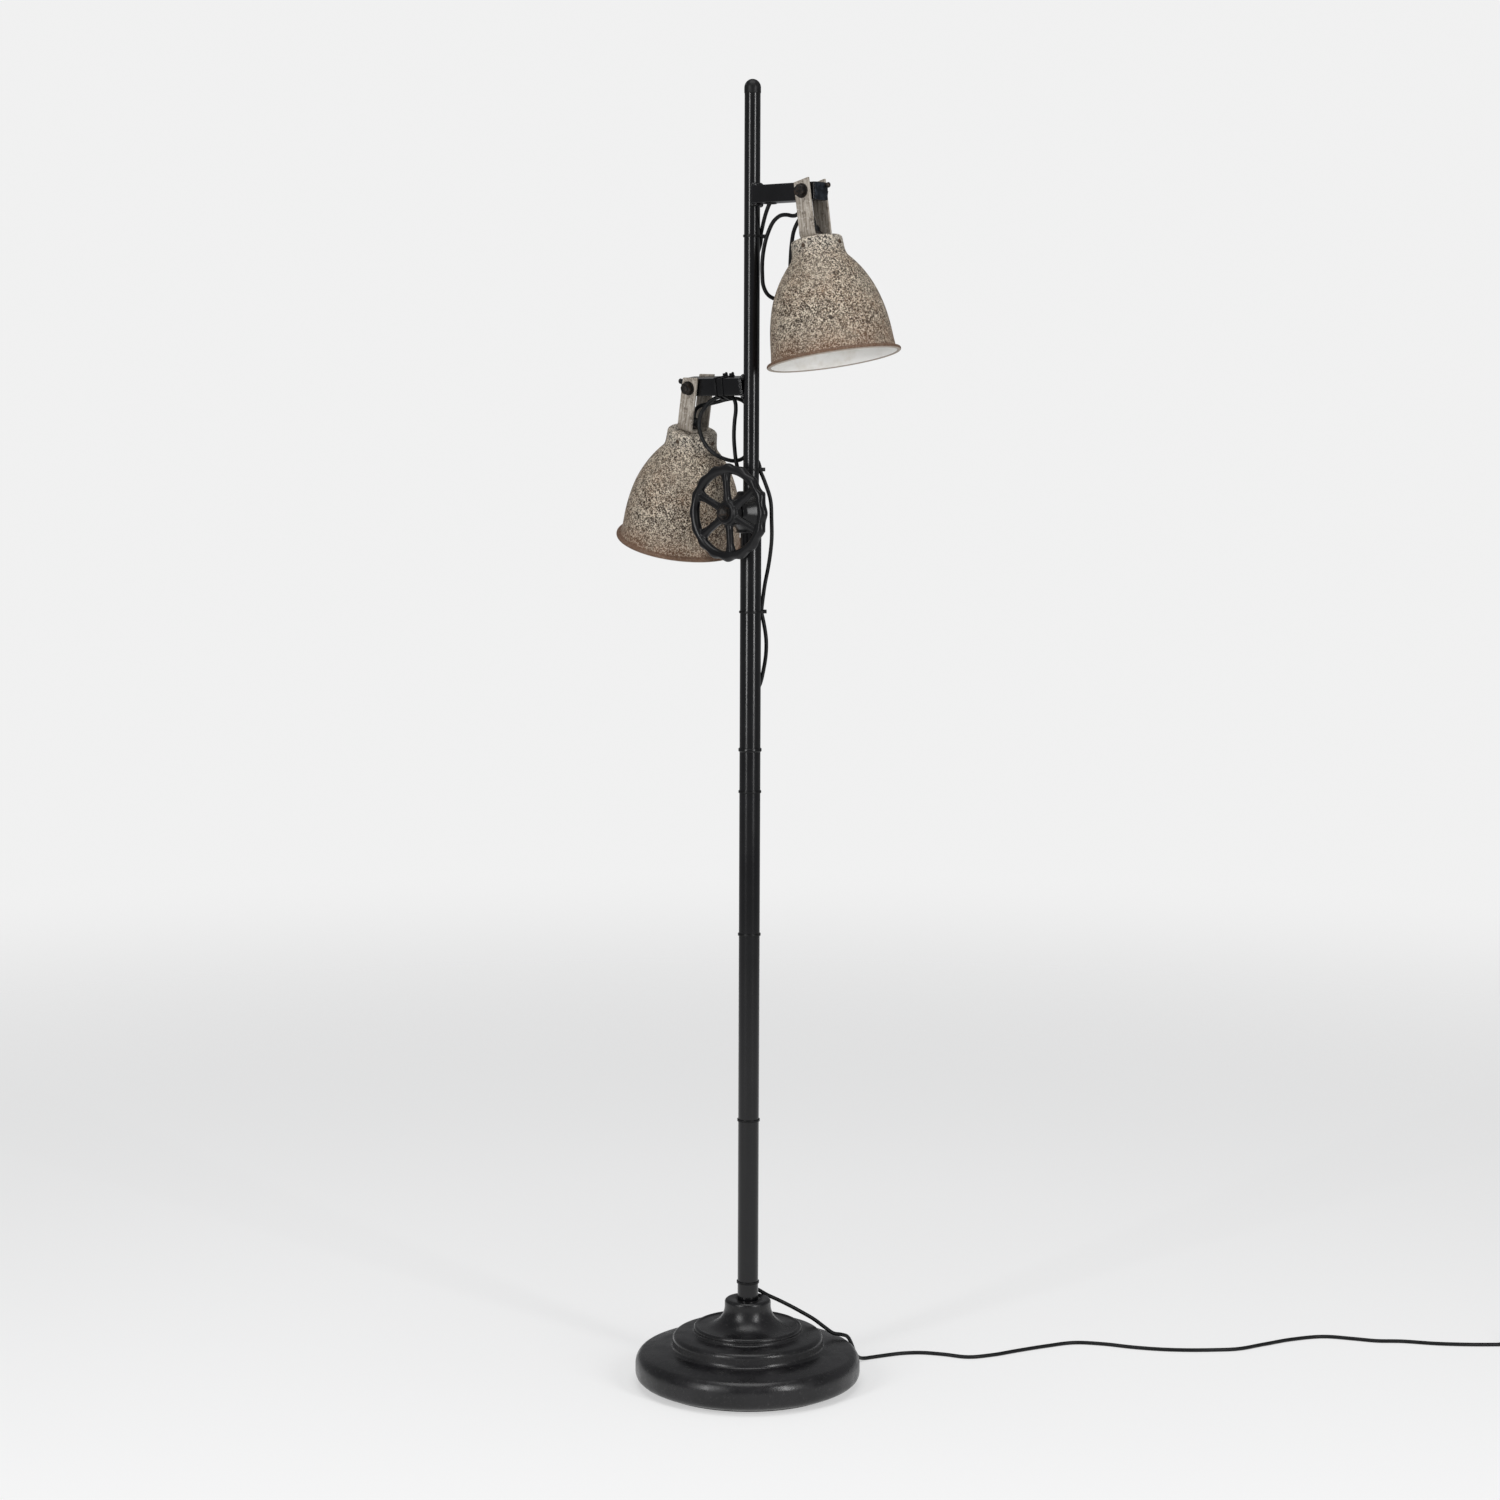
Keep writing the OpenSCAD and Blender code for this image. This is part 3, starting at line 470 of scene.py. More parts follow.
LOWER_ROUTE = [
    (-0.0101, 0.0126, 1.14), (-0.0108, 0.0128, 1.128), (-0.0135, 0.012, 1.118), (-0.018, 0.0095, 1.114),
    (-0.022, 0.006, 1.118), (-0.024, 0.002, 1.13), (-0.0255, 0, 1.147), (-0.026, -0.001, 1.165),
    (-0.025, -0.001, 1.182), (-0.024, 0, 1.196), (-0.0255, 0.0007, 1.2043), (-0.0295, 0.0015, 1.2096),
    (-0.0343, 0.002, 1.2112), (-0.046, 0.002, 1.2112), (-0.049, 0.0016, 1.2111), (-0.057, -0.003, 1.208),
    (-0.064, -0.008, 1.2), (-0.069, -0.013, 1.188), (-0.069, -0.015, 1.175), (-0.065, -0.0145, 1.162),
    (-0.057, -0.013, 1.15), (-0.047, -0.009, 1.141), (-0.038, -0.002, 1.136), (-0.0315, 0.0055, 1.134),
    (-0.0265, 0.012, 1.1355), (-0.0215, 0.017, 1.1405), (-0.018, 0.02, 1.1485), (-0.016, 0.021, 1.16),
    (-0.015, 0.021, 1.173), (-0.0155, 0.02, 1.186), (-0.018, 0.018, 1.197), (-0.023, 0.0158, 1.2045),
    (-0.031, 0.0142, 1.2084), (-0.041, 0.0134, 1.209), (-0.05, 0.0115, 1.2076), (-0.06, 0.008, 1.2049),
    (-0.069, 0.005, 1.2028), (-0.0779, 0.0036, 1.2012), (-0.0857, 0.0039, 1.1993), (-0.0906, 0.0044, 1.196),
    (-0.0933, 0.0052, 1.1912), (-0.0947, 0.006, 1.1859),
]
MAINS_ROUTE = [
    (-0.007, 0.0135, 0.127), (-0.0064, 0.0146, 0.121), (-0.0046, 0.0186, 0.1145), (-0.0025, 0.026, 0.1095),
    (0.0015, 0.036, 0.1025), (0.009, 0.048, 0.095), (0.019, 0.059, 0.087), (0.03, 0.071, 0.0775),
    (0.04, 0.083, 0.0675), (0.0485, 0.093, 0.057), (0.0555, 0.102, 0.0486), (0.06, 0.112, 0.0456),
    (0.0618, 0.122, 0.0412), (0.062, 0.13, 0.031), (0.0605, 0.1375, 0.02), (0.0585, 0.146, 0.0105),
    (0.0575, 0.156, 0.0045), (0.0595, 0.166, 0.0024), (0.064, 0.176, 0.0024), (0.072, 0.193, 0.0024),
    (0.082, 0.211, 0.0024), (0.098, 0.228, 0.0024), (0.124, 0.241, 0.0024), (0.156, 0.252, 0.0024),
    (0.175, 0.28, 0.0024), (0.188, 0.313, 0.0024), (0.206, 0.355, 0.0024), (0.227, 0.392, 0.0024),
    (0.258, 0.41, 0.0024), (0.294, 0.422, 0.0024), (0.328, 0.438, 0.0024), (0.356, 0.457, 0.0024),
    (0.38, 0.478, 0.0024), (0.4, 0.499, 0.0024), (0.418, 0.542, 0.0024), (0.435, 0.584, 0.0024),
    (0.463, 0.623, 0.0024), (0.494, 0.637, 0.0024), (0.522, 0.648, 0.0024), (0.548, 0.667, 0.0024),
    (0.588, 0.687, 0.0024), (0.622, 0.71, 0.0024), (0.652, 0.735, 0.0024), (0.658, 0.7405, 0.0045),
    (0.665, 0.7463, 0.008), (0.6722, 0.7522, 0.009),
]
COIL_LEAD_ROUTE = [
    (0.7218, 0.7929, 0.009), (0.7265, 0.7964, 0.0082), (0.732, 0.799, 0.0055), (0.7385, 0.8008, 0.0032),
    (0.7455, 0.8024, 0.0024), (0.7515, 0.8043, 0.0024),
]


# ---- Materials ----

def linear(*srgb):
    """Linear colour of an sRGB one from 0 to 255."""
    return tuple(((c / 255 + 0.055) / 1.055) ** 2.4 if c > 10 else c / 255 / 12.92 for c in srgb) + (1.0,)


class Surface:
    """A node material around one Principled shader, with short calls for the usual nodes."""

    def __init__(self, name, roughness=0.5, metallic=0.0, specular=0.5):
        self.material = bpy.data.materials.new(name)
        self.material.use_nodes = True
        self.tree = self.material.node_tree
        self.sockets = self.tree.nodes["Principled BSDF"].inputs
        self.sockets["Roughness"].default_value = roughness
        self.sockets["Metallic"].default_value = metallic
        self.sockets["Specular IOR Level"].default_value = specular
        self.place = self.node("TexCoord", {})["Object"]

    def node(self, kind, inputs, **settings):
        return add_node(self.tree, kind, inputs, **settings)

    def link(self, output, socket):
        self.tree.links.new(output, self.sockets[socket])

    def stretched(self, x, y, z):
        """Coordinates scaled along each axis, for streaks and grain."""
        return self.node("Mapping", {"Vector": self.place, "Scale": (x, y, z)})["Vector"]

    def noise(self, scale, detail=4.0, roughness=0.55, distortion=0.0, vector=None):
        inputs = {"Vector": vector or self.place, "Scale": scale, "Detail": detail, "Roughness": roughness,
                  "Distortion": distortion}
        return self.node("TexNoise", inputs)["Fac"]

    def cells(self, scale):
        return self.node("TexVoronoi", {"Vector": self.place, "Scale": scale})["Distance"]

    def steps(self, value, low, high, out_low=0.0, out_high=1.0):
        """The value moved from low..high to out_low..out_high, and held at the ends."""
        inputs = {"Value": value, "From Min": low, "From Max": high, "To Min": out_low, "To Max": out_high}
        return self.node("MapRange", inputs, interpolation_type="SMOOTHSTEP")["Result"]

    def times(self, a, b):
        return self.node("Math", {0: a, 1: b}, operation="MULTIPLY")[0]

    def height(self):
        """Height along the object's own Z axis, in metres."""
        return self.node("SeparateXYZ", {0: self.place})["Z"]

    def blend(self, share, a, b):
        """Colour a where the share is 0 and b where it is 1. Each is an sRGB colour or an output."""
        a, b = (linear(*side) if isinstance(side, tuple) else side for side in (a, b))
        return self.node("Mix", {"Factor": share, 6: a, 7: b}, data_type="RGBA")[2]

    def colour(self, output):
        self.link(output, "Base Color")

    def rough(self, output, low, high):
        self.link(self.steps(output, 0.3, 0.7, low, high), "Roughness")

    def bump(self, output, strength, depth, under=None):
        inputs = {"Height": output, "Strength": strength, "Distance": depth}
        if under is not None:
            inputs["Normal"] = under
        normal = self.node("Bump", inputs)["Normal"]
        self.link(normal, "Normal")
        return normal


def cast_black():
    s = Surface("cast_black", specular=0.42)
    broad = s.noise(14, 4, 0.6)
    grain = s.noise(260, 5, 0.65)
    pits = s.cells(420)
    worn = s.blend(s.steps(broad, 0.38, 0.68), (12, 12, 14), (26, 25, 27))
    s.colour(s.blend(s.steps(grain, 0.54, 0.75, 0.0, 0.4), worn, (74, 72, 72)))
    s.rough(s.noise(60, 5, 0.6), 0.24, 0.38)
    under = s.bump(grain, 0.22, 0.0004)
    s.bump(pits, 0.08, 0.0004, under)
    return s.material


def black_paint(name, dark, light, low, high, ripple, specular):
    """Gloss or satin black paint on steel, with faint orange peel and slightly rubbed patches."""
    s = Surface(name, specular=specular)
    s.colour(s.blend(s.steps(s.noise(22, 5, 0.6), 0.4, 0.7), dark, light))
    s.rough(s.noise(12, 2, 0.5), low, high)
    under = s.bump(s.noise(120, 2, 0.5), ripple, 0.0001)
    s.bump(s.noise(16, 1, 0.5, 0.0, s.stretched(1, 1, 0.3)), ripple, 0.0006, under)
    return s.material


def worn_steel(name, dark, light, rust=None, low=0.35, high=0.6):
    """Darkened steel with scratches, grime and, where it is asked for, spots of rust."""
    s = Surface(name, metallic=0.75)
    grime = s.noise(150, 5, 0.65)
    colour = s.blend(s.steps(grime, 0.4, 0.65), dark, light)
    if rust:
        colour = s.blend(s.steps(s.noise(310, 4, 0.7), 0.5, 0.62), colour, rust)
    s.colour(colour)
    s.rough(s.noise(420, 4, 0.6), low, high)
    s.bump(s.noise(700, 3, 0.6), 0.25, 0.0003)
    return s.material


def shade_paint():
    """Old crackled paint: a fine dark net on pale tan, with brown patches, a grey neck and a brown lip."""
    s = Surface("worn_shade", specular=0.3)
    z = s.height()
    base = s.blend(s.steps(s.noise(20, 4, 0.6), 0.4, 0.62), (142, 129, 113), (128, 102, 80))
    base = s.blend(s.steps(s.noise(120, 4, 0.65), 0.5, 0.66, 0.0, 0.5), base, (98, 78, 62))
    foot = s.times(s.steps(z, -0.098, -0.138), s.steps(s.noise(32, 4, 0.6), 0.36, 0.6, 0.2, 0.9))
    base = s.blend(foot, base, (120, 88, 66))
    neck = s.times(s.steps(z, -0.03, -0.006), s.steps(s.noise(90, 5, 0.65), 0.3, 0.62, 0.4, 0.9))
    base = s.blend(neck, base, (178, 173, 164))
    net = s.noise(440, 0.6, 0.5, 1.8)
    quiet = s.steps(z, -0.1, -0.14, 1.0, 0.6)
    busy = s.times(s.steps(s.noise(16, 3, 0.5), 0.3, 0.55, 0.7, 1.0), quiet)
    base = s.blend(s.times(s.times(s.steps(net, 0.462, 0.42), busy), 0.8), base, (208, 197, 178))
    base = s.blend(s.times(s.times(s.steps(net, 0.488, 0.525), busy), 0.95), base, (44, 36, 30))
    base = s.blend(s.times(s.steps(z, -0.1372, -0.1392), 0.8), base, (96, 72, 56))
    base = s.blend(s.times(s.steps(z, -0.1424, -0.1434), 0.7), base, (180, 172, 162))
    s.colour(base)
    s.rough(net, 0.5, 0.72)
    under = s.bump(net, 0.25, 0.0003)
    s.bump(s.noise(30, 3, 0.5), 0.1, 0.002, under)
    return s.material


def shade_lining():
    s = Surface("shade_lining")
    soot = s.noise(40, 5, 0.6)
    s.colour(s.blend(s.steps(soot, 0.45, 0.75, 0.0, 0.7), (240, 239, 236), (214, 208, 198)))
    s.rough(s.noise(200, 3), 0.35, 0.5)
    s.bump(s.noise(350, 3), 0.1, 0.0004)
    return s.material


def strap_paint():
    """Weathered grey-beige paint with rubbed streaks along the strap."""
    s = Surface("worn_bracket")
    streaks = s.noise(1.0, 5, 0.65, 0.0, s.stretched(420, 420, 60))
    blots = s.noise(140, 5, 0.7)
    base = s.blend(s.steps(streaks, 0.4, 0.62), (168, 160, 149), (122, 112, 100))
    base = s.blend(s.steps(blots, 0.56, 0.66, 0.0, 0.8), base, (84, 74, 64))
    base = s.blend(s.steps(s.noise(330, 3, 0.6), 0.58, 0.7, 0.0, 0.7), base, (205, 200, 192))
    s.colour(base)
    s.rough(blots, 0.48, 0.7)
    s.bump(streaks, 0.3, 0.0004)
    return s.material


def brass():
    s = Surface("brass", metallic=1.0)
    s.colour(s.blend(s.steps(s.noise(160, 4, 0.6), 0.4, 0.7), (196, 162, 96), (140, 110, 62)))
    s.rough(s.noise(300, 4), 0.25, 0.45)
    s.bump(s.noise(800, 3), 0.15, 0.0002)
    return s.material


def plain_steel():
    s = Surface("plain_steel", metallic=1.0)
    brushed = s.noise(1.0, 4, 0.6, 0.0, s.stretched(900, 900, 40))
    s.colour(s.blend(s.steps(brushed, 0.35, 0.7), (150, 150, 152), (108, 108, 110)))
    s.rough(brushed, 0.28, 0.5)
    s.bump(brushed, 0.15, 0.0002)
    return s.material


def moulded(name, colour, shine, rough, grain=600, specular=0.2):
    """Moulded plastic or rubber with a fine grain and faint handling marks."""
    s = Surface(name, specular=specular)
    marks = s.noise(70, 5, 0.6)
    s.colour(s.blend(s.steps(marks, 0.45, 0.7), colour, shine))
    s.rough(s.noise(160, 4), *rough)
    s.bump(s.noise(grain, 3, 0.6), 0.12, 0.0002)
    return s.material


def felt():
    s = Surface("felt", roughness=0.95)
    fibres = s.noise(900, 5, 0.7, 1.5)
    s.colour(s.blend(s.steps(fibres, 0.35, 0.7), (26, 26, 27), (62, 61, 60)))
    s.sockets["Sheen Weight"].default_value = 0.3
    s.bump(fibres, 0.6, 0.0006)
    return s.material


def make_materials():
    return {
        "cast_black": cast_black(),
        "black_metal": black_paint("black_metal", (9, 9, 11), (15, 15, 17), 0.17, 0.24, 0.01, 0.4),
        "wheel_black": black_paint("wheel_black", (10, 10, 12), (20, 20, 21), 0.26, 0.38, 0.25, 0.3),
        "dark_steel": worn_steel("dark_steel", (26, 25, 25), (54, 52, 50), (60, 48, 40)),
        # Steel end caps, painted lighter and bluer than the black arm: their steel tone plus a painted highlight of
        # their lit end faces.
        "end_steel_and_painted_sheen": worn_steel("end_steel_and_painted_sheen", (28, 32, 38), (58, 64, 72)),
        "plain_steel": plain_steel(),
        "worn_shade": shade_paint(),
        "shade_lining": shade_lining(),
        "worn_bracket": strap_paint(),
        "rusty_screw": worn_steel("rusty_screw", (84, 72, 62), (124, 110, 96), (70, 54, 44), 0.6, 0.85),
        "brass": brass(),
        "white_ceramic": moulded("white_ceramic", (236, 235, 230), (222, 220, 213), (0.12, 0.25), 240, 0.5),
        "black_plastic": moulded("black_plastic", (18, 18, 19), (28, 28, 29), (0.34, 0.48)),
        "tie_plastic": moulded("tie_plastic", (15, 15, 16), (26, 26, 27), (0.3, 0.45), 900),
        "cord_black": moulded("cord_black", (16, 17, 18), (28, 29, 30), (0.34, 0.48), 1200),
        "felt": felt(),
    }


# ---- Frames and riding ----

SLOTS = {part["node"]: part["material_slot"] for part in frame["record"]["subparts"]}
BODIES = {node: body for body, nodes in frame["record"]["behaviour"]["bodies"].items() for node in nodes}

MATERIALS = make_materials()


def paint_cad_nodes():
    """Gives every carried-over CAD node the material of its slot in the record."""
    for node, slot in SLOTS.items():
        data = frame["nodes"][node].data
        data.materials.clear()
        data.materials.append(MATERIALS[slot])


FOOT_DROP = 52.3         # from a pivot bolt down to the inside of its bracket's foot
TUBE_R, TUBE_BORE, MAST_R = 12.7, 11.1, 9.525
TIED_R = 2.85            # room that a tie or clip leaves round the middle of a cord
CORD_HOLES = {"in": (28, 0, 6.0), "out": (75.8, -3.7, 4.6)}    # x, y and radius, in the upper arm
ALONG_X = Matrix(((0, 0, 1, 0), (1, 0, 0, 0), (0, 1, 0, 0), (0, 0, 0, 1)))    # stands an outline up across X
CLAMP = shift(0, 0, 1.073) @ turn(90, "X")
HEADS = {
    "upper": {"body": "upper_lamp", "frame": shift(0.0885, 0, 1.449) @ turn(-8.5, "Y"),
              "set": (1.0, -1.8), "cut": 6.0},
    "lower": {"body": "lower_lamp", "frame": shift(-0.084, 0, 1.224) @ turn(9, "X") @ turn(15.5, "Y"),
              "set": (0.0, 0.0), "cut": 14.0},
}
ARMS = {
    "upper": {"frame": shift(0, 0, 1.449), "reach": 88.5},
    "lower": {"frame": shift(0, 0, 1.224) @ turn(9, "X") @ turn(180, "Z"), "reach": 84.0},
}


def foot_frame(head):
    """Frame on the underside of a bracket's foot, where the shade hangs. The head's set bends the foot."""
    about_x, about_y = head["set"]
    bent = turn(about_y, "Y") @ turn(about_x, "X")
    return head["frame"] @ shift(0, 0, -FOOT_DROP * MM) @ bent @ shift(0, 0, -0.003)


def in_mm(place):
    """The same frame, for shells in millimetres."""
    return Matrix.Translation(place.translation / MM) @ place.to_3x3().to_4x4()


def stands_for(piece, *nodes):
    """The piece replaces those CAD nodes, which it hides. It takes the first one's body."""
    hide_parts(*nodes)
    return goes_with(piece, nodes[0])


def goes_with(piece, node):
    """A detail that rides on a CAD node's body."""
    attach(piece, BODIES[node])
    return piece


def bends(piece, node):
    """A piece of cord in place of that CAD node, which it hides, with its placement baked into its mesh."""
    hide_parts(node)
    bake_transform(piece)


def solid(name, shells, material, node, place=None, bevel=None):
    """A piece made of shells, with its edges rounded where that is asked for, in place of a CAD node."""
    mesh = joined(name, shells)
    if bevel:
        mesh = bevelled(mesh, *bevel)
    return stands_for(make_object(name, mesh, material, place), node)


# ---- Cords ----

CORD_R = 0.0024
COIL_MIDDLE = (0.768, 0.776)
PLUG_PLACE = shift(0.7666, 0.7195, 0.0072) @ turn(-127, "Z")
SWITCH_PLACE = shift(0.697, 0.7725, 0) @ turn(39.5, "Z")


def nearest(path, point):
    spot = Vector(point)
    return min(range(len(path)), key=lambda i: (path[i] - spot).length_squared)


def coil_points():
    """Three turns inwards on the floor, then three outwards on top of them, and out to the plug."""
    points = []
    per_turn = 20
    start = 115.0
    total = 5 * per_turn + 8
    for i in range(total + 1):
        turns = i / per_turn
        if turns <= 2:
            radius, height = 0.0328 - 0.0048 * turns, 0.0024
        elif turns <= 3:
            radius, height = 0.0232, 0.0024 + 0.0048 * math.sin(math.pi / 2 * (turns - 2))
        else:
            whole = min(2, int(turns - 3))
            part = min(1.0, turns - 3 - whole) if whole < 2 else 0.0
            radius, height = 0.0232 + 0.0048 * (whole + math.sin(math.pi / 2 * part)), 0.0072
        a = math.radians(start - 360 * turns)
        points.append((COIL_MIDDLE[0] + radius * math.cos(a), COIL_MIDDLE[1] + radius * math.sin(a), height))
    return points


def mains_path():
    tail = PLUG_PLACE @ Vector((-0.040, 0, 0))
    inside = PLUG_PLACE @ Vector((-0.030, 0, 0))
    through = [tuple(SWITCH_PLACE @ Vector((x, 0, 0.009))) for x in (-0.016, 0.016)]
    points = MAINS_ROUTE + through + COIL_LEAD_ROUTE[:-1] + coil_points() + [tuple(tail), tuple(inside)]
    return [Vector((p.x, p.y, max(p.z, CORD_R))) for p in smooth_path(points, 0.004)]


def sleeve(name, path, start, length, thick, material):
    """Ribbed strain relief that tapers along a cord, from the path's point at start."""
    way = 1 if length > 0 else -1
    reach, i, places, radii = 0.0, nearest(path, start), [], []
    while reach < abs(length):
        ribs = 0.00035 if int(reach / 0.0022) % 2 else 0.0
        radii.append(thick + (CORD_R + 0.0005 - thick) * reach / abs(length) + ribs)
        places.append(path[i].copy())
        reach += (path[i + way] - path[i]).length
        i += way
    return tube(name, places, radii, material, segments=20)


def make_mains():
    path = mains_path()
    lead = tube("mains_lead", path, CORD_R, "cord_black", segments=12)
    stands_for(lead, "mains_cord", "mains_coil")
    plug = make_plug()
    switch = make_switch()
    for label, side in (("in", -1), ("out", 1)):
        end = SWITCH_PLACE @ Vector((side * 0.0315, 0, 0.009))
        middle = nearest(path, end)
        fine = smooth_path(path[max(0, middle - 12):middle + 13], 0.0011)
        relief = sleeve("switch_relief_" + label, fine, end, side * 0.022, 0.0052, "black_plastic")
        goes_with(relief, "switch_cover")


def mirrored(half):
    """Half an outline with its mirror image on the other side of the X axis."""
    return half + [(x, -y, radius) for x, y, radius in reversed(half)]


def make_plug():
    outline = rounded(mirrored([(-18, -8, 4), (-8, -18, 5), (18, -18, 3)]), 5)
    shells = [prism(outline, -7.2, 7.2)]
    pieces = [solid("plug_shell", shells, "black_plastic", "plug_body", PLUG_PLACE, (1.8, 4))]
    ribs = []
    for angle in (0, 180):
        for x in (-9, -5, -1, 3, 7):
            grip = [(x + dx, y, 0.6) for dx, y in ((0, -17.6), (1.8, -17.6), (1.8, -18.4), (0, -18.4))]
            ribs.append(moved(prism(rounded(grip, 3), -5, 5), turn(angle, "X")))
    grips = make_object("plug_grips", joined("plug_grips", ribs), "black_plastic", PLUG_PLACE)
    pieces.append(goes_with(grips, "plug_body"))
    profile = [(2.5, 0)]
    for k in range(23):
        profile.append((6.0 - 3.0 * k / 22 - (0.5 if k % 3 == 2 else 0.0), k))
    profile.append((2.5, 22))
    behind = PLUG_PLACE @ shift(-0.0178, 0, 0) @ turn(-90, "Y")
    pieces.append(goes_with(lathe("plug_tail", profile, "black_plastic", behind, 32), "plug_body"))
    pin = [(0, -2), (2, -2), (2, 17.4)] + arc(0, 17.4, 2, 1.6, 0, 90, 6)[1:]
    pins = [moved(lathed(pin, 24), shift(18, y, 0) @ turn(90, "Y")) for y in (-9.5, 9.5)]
    pieces.append(solid("plug_prongs", pins, "brass", "plug_pins", PLUG_PLACE))
    return pieces


def rod(radius, low, high, place=None, segments=40):
    """Closed cylinder shell, used to cut holes."""
    shell = lathed([(0, low), (radius, low), (radius, high), (0, high)], segments)
    return moved(shell, place) if place else shell


def cut(mesh, *shells):
    """The mesh with closed shells taken out of it."""
    for shell in shells:
        holder = bpy.data.objects.new("cut", mesh)
        tool = bpy.data.objects.new("tool", joined("tool", [shell]))
        for obj in (holder, tool):
            scene.collection.objects.link(obj)
        change = holder.modifiers.new("cut", "BOOLEAN")
        change.operation, change.solver, change.object = "DIFFERENCE", "EXACT", tool
        bpy.context.view_layer.update()
        result = bpy.data.meshes.new_from_object(holder.evaluated_get(bpy.context.evaluated_depsgraph_get()))
        for obj in (holder, tool):
            bpy.data.objects.remove(obj)
        mesh = result
    return mesh


def make_switch():
    outline = rounded(mirrored([(-32, -9, 6), (-26, -14, 5), (26, -14, 5), (32, -9, 6)]), 5)
    pieces = []
    halves = (("switch_tray", "switch_base", 0, 9), ("switch_lid", "switch_cover", 9.05, 18))
    for name, node, low, high in halves:
        mesh = bevelled(joined(name, [prism(outline, low, high)]), 1.2, 3)
        if name == "switch_lid":
            mesh = cut(mesh, rod(9.45, 12, 30))
        pieces.append(stands_for(make_object(name, mesh, "black_plastic", SWITCH_PLACE), node))
    profile = [(0, 14.7), (9.1, 14.7), (9.2, 20.6)] + arc(8.2, 21.0, 1.0, 1.0, 0, 90, 4)
    profile += [(6.4, 21.6), (3.5, 21.2), (0, 21.1)]
    key = lathe("switch_key", profile, "black_plastic", SWITCH_PLACE, 48)
    pieces.append(stands_for(key, "switch_button"))
    return pieces


def make_cords():
    rubber = "cord_black"
    make_mains()
    stands_for(tube("pole_lead", smooth_path(POLE_ROUTE), CORD_R, rubber), "pole_cord")
    slack = smooth_path(SLACK_ROUTE, 0.002)
    middle = nearest(slack, (0.017, 0.0188, 1.04))
    lower = tube("slack_lead_low", slack, CORD_R, rubber, last=middle)
    upper = tube("slack_lead_high", slack, CORD_R, rubber, first=middle)
    bends(lower, "slack_cord")
    bends(upper, "slack_cord")
    to_junction = tube("mast_lead_low", smooth_path([SLACK_ROUTE[-1]] + JUNCTION_ROUTE), CORD_R, rubber)
    stands_for(to_junction, "mast_cord")
    goes_with(tube("mast_lead_high", smooth_path(MAST_ROUTE, 0.003), CORD_R, rubber), "mast_cord")
    loops = {"upper": (UPPER_ROUTE, (0.028, 0.026, 1.33)), "lower": (LOWER_ROUTE, (-0.0265, 0.012, 1.1355))}
    for name, (route, loop) in loops.items():
        path = smooth_path(route, 0.003)
        middle = nearest(path, loop)
        held = tube(name + "_lead_held", path, CORD_R, rubber, last=middle)
        stands_for(held, name + "_lamp_cord")
        free = tube(name + "_lead_free", path, CORD_R, rubber, first=middle)
        bends(free, name + "_lamp_cord")


# ---- Base and pole ----

def make_base():
    outside = [(119.6, 2), (124, 2.8), (129, 4.6), (133.5, 7.0), (136.6, 9.8), (138.0, 12.8), (138.5, 16)]
    outside += [(138.5, 24)]
    outside += arc(127, 25, 11.5, 15.6, 0, 80, 14) + [(124, 41.2), (118, 42.5), (110, 43.6), (98, 44.6)]
    outside += [(94.6, 45.1), (93.1, 46.6), (92.5, 49.5), (92.5, 55)] + arc(86, 56, 6.5, 6.2, 0, 84, 10)
    outside += [(82, 62.9), (75, 63.3), (69.3, 63.7), (67.2, 64.4), (66.2, 66)]
    outside += arc(63.4, 69.4, 3.1, 3.4, -12, 140, 12) + [(60.4, 71.4), (58.6, 71.5)]
    outside += arc(54, 98, 25.6, 26.0, 268, 180, 24) + arc(24.2, 101.8, 4.2, 4.2, 8, 90, 7)
    outside += [(16.2, 106), (15.2, 105.6), (14.6, 104.6), (12.8, 103.8)]
    socket = [(12.75, 46), (5.6, 46), (5.6, 24), (28, 24), (28, 50), (52, 56), (80, 54), (84, 37), (112, 34)]
    socket += [(116, 26), (116, 2)]

    def uneven(a, r, z):
        if z < 3 or r < 14:
            return 0.0
        return 0.22 * noise.noise(Vector((2.2 * math.cos(a), 2.2 * math.sin(a), z / 22)))

    stands_for(lathe("base_body", outside + socket, "cast_black", None, 192, 50, uneven), "base_casting")


def pipe(radius, bore, low, high):
    return [(radius, low), (radius, high), (bore, high), (bore, low)]


def make_pole():
    paint = "black_metal"
    stands_for(lathe("pole_low", pipe(TUBE_R, TUBE_BORE, 46, 783.7), paint), "lower_tube")
    stands_for(lathe("pole_high", pipe(TUBE_R, TUBE_BORE, 788.3, 1084), paint), "middle_tube")
    ring = [(TUBE_BORE, 783.8), (13.2, 783.8)] + arc(13.1, 785, 1.0, 1.2, -80, 0, 5)
    ring += arc(13.1, 787, 1.0, 1.2, 0, 80, 5) + [(TUBE_BORE, 788.2)]
    stands_for(lathe("pole_ring", ring, paint), "joint_ring")
    stands_for(lathe("mast_pipe", pipe(MAST_R, 8.025, 960, 1568), paint), "mast_tube")
    cap = [(0, 1568), (9.4, 1568), (9.8, 1568.4), (9.95, 1569.2), (9.95, 1574)]
    cap += arc(0, 1574.6, 9.95, 10.4, 2, 90, 14)
    stands_for(lathe("mast_top", cap, "black_plastic"), "mast_cap")


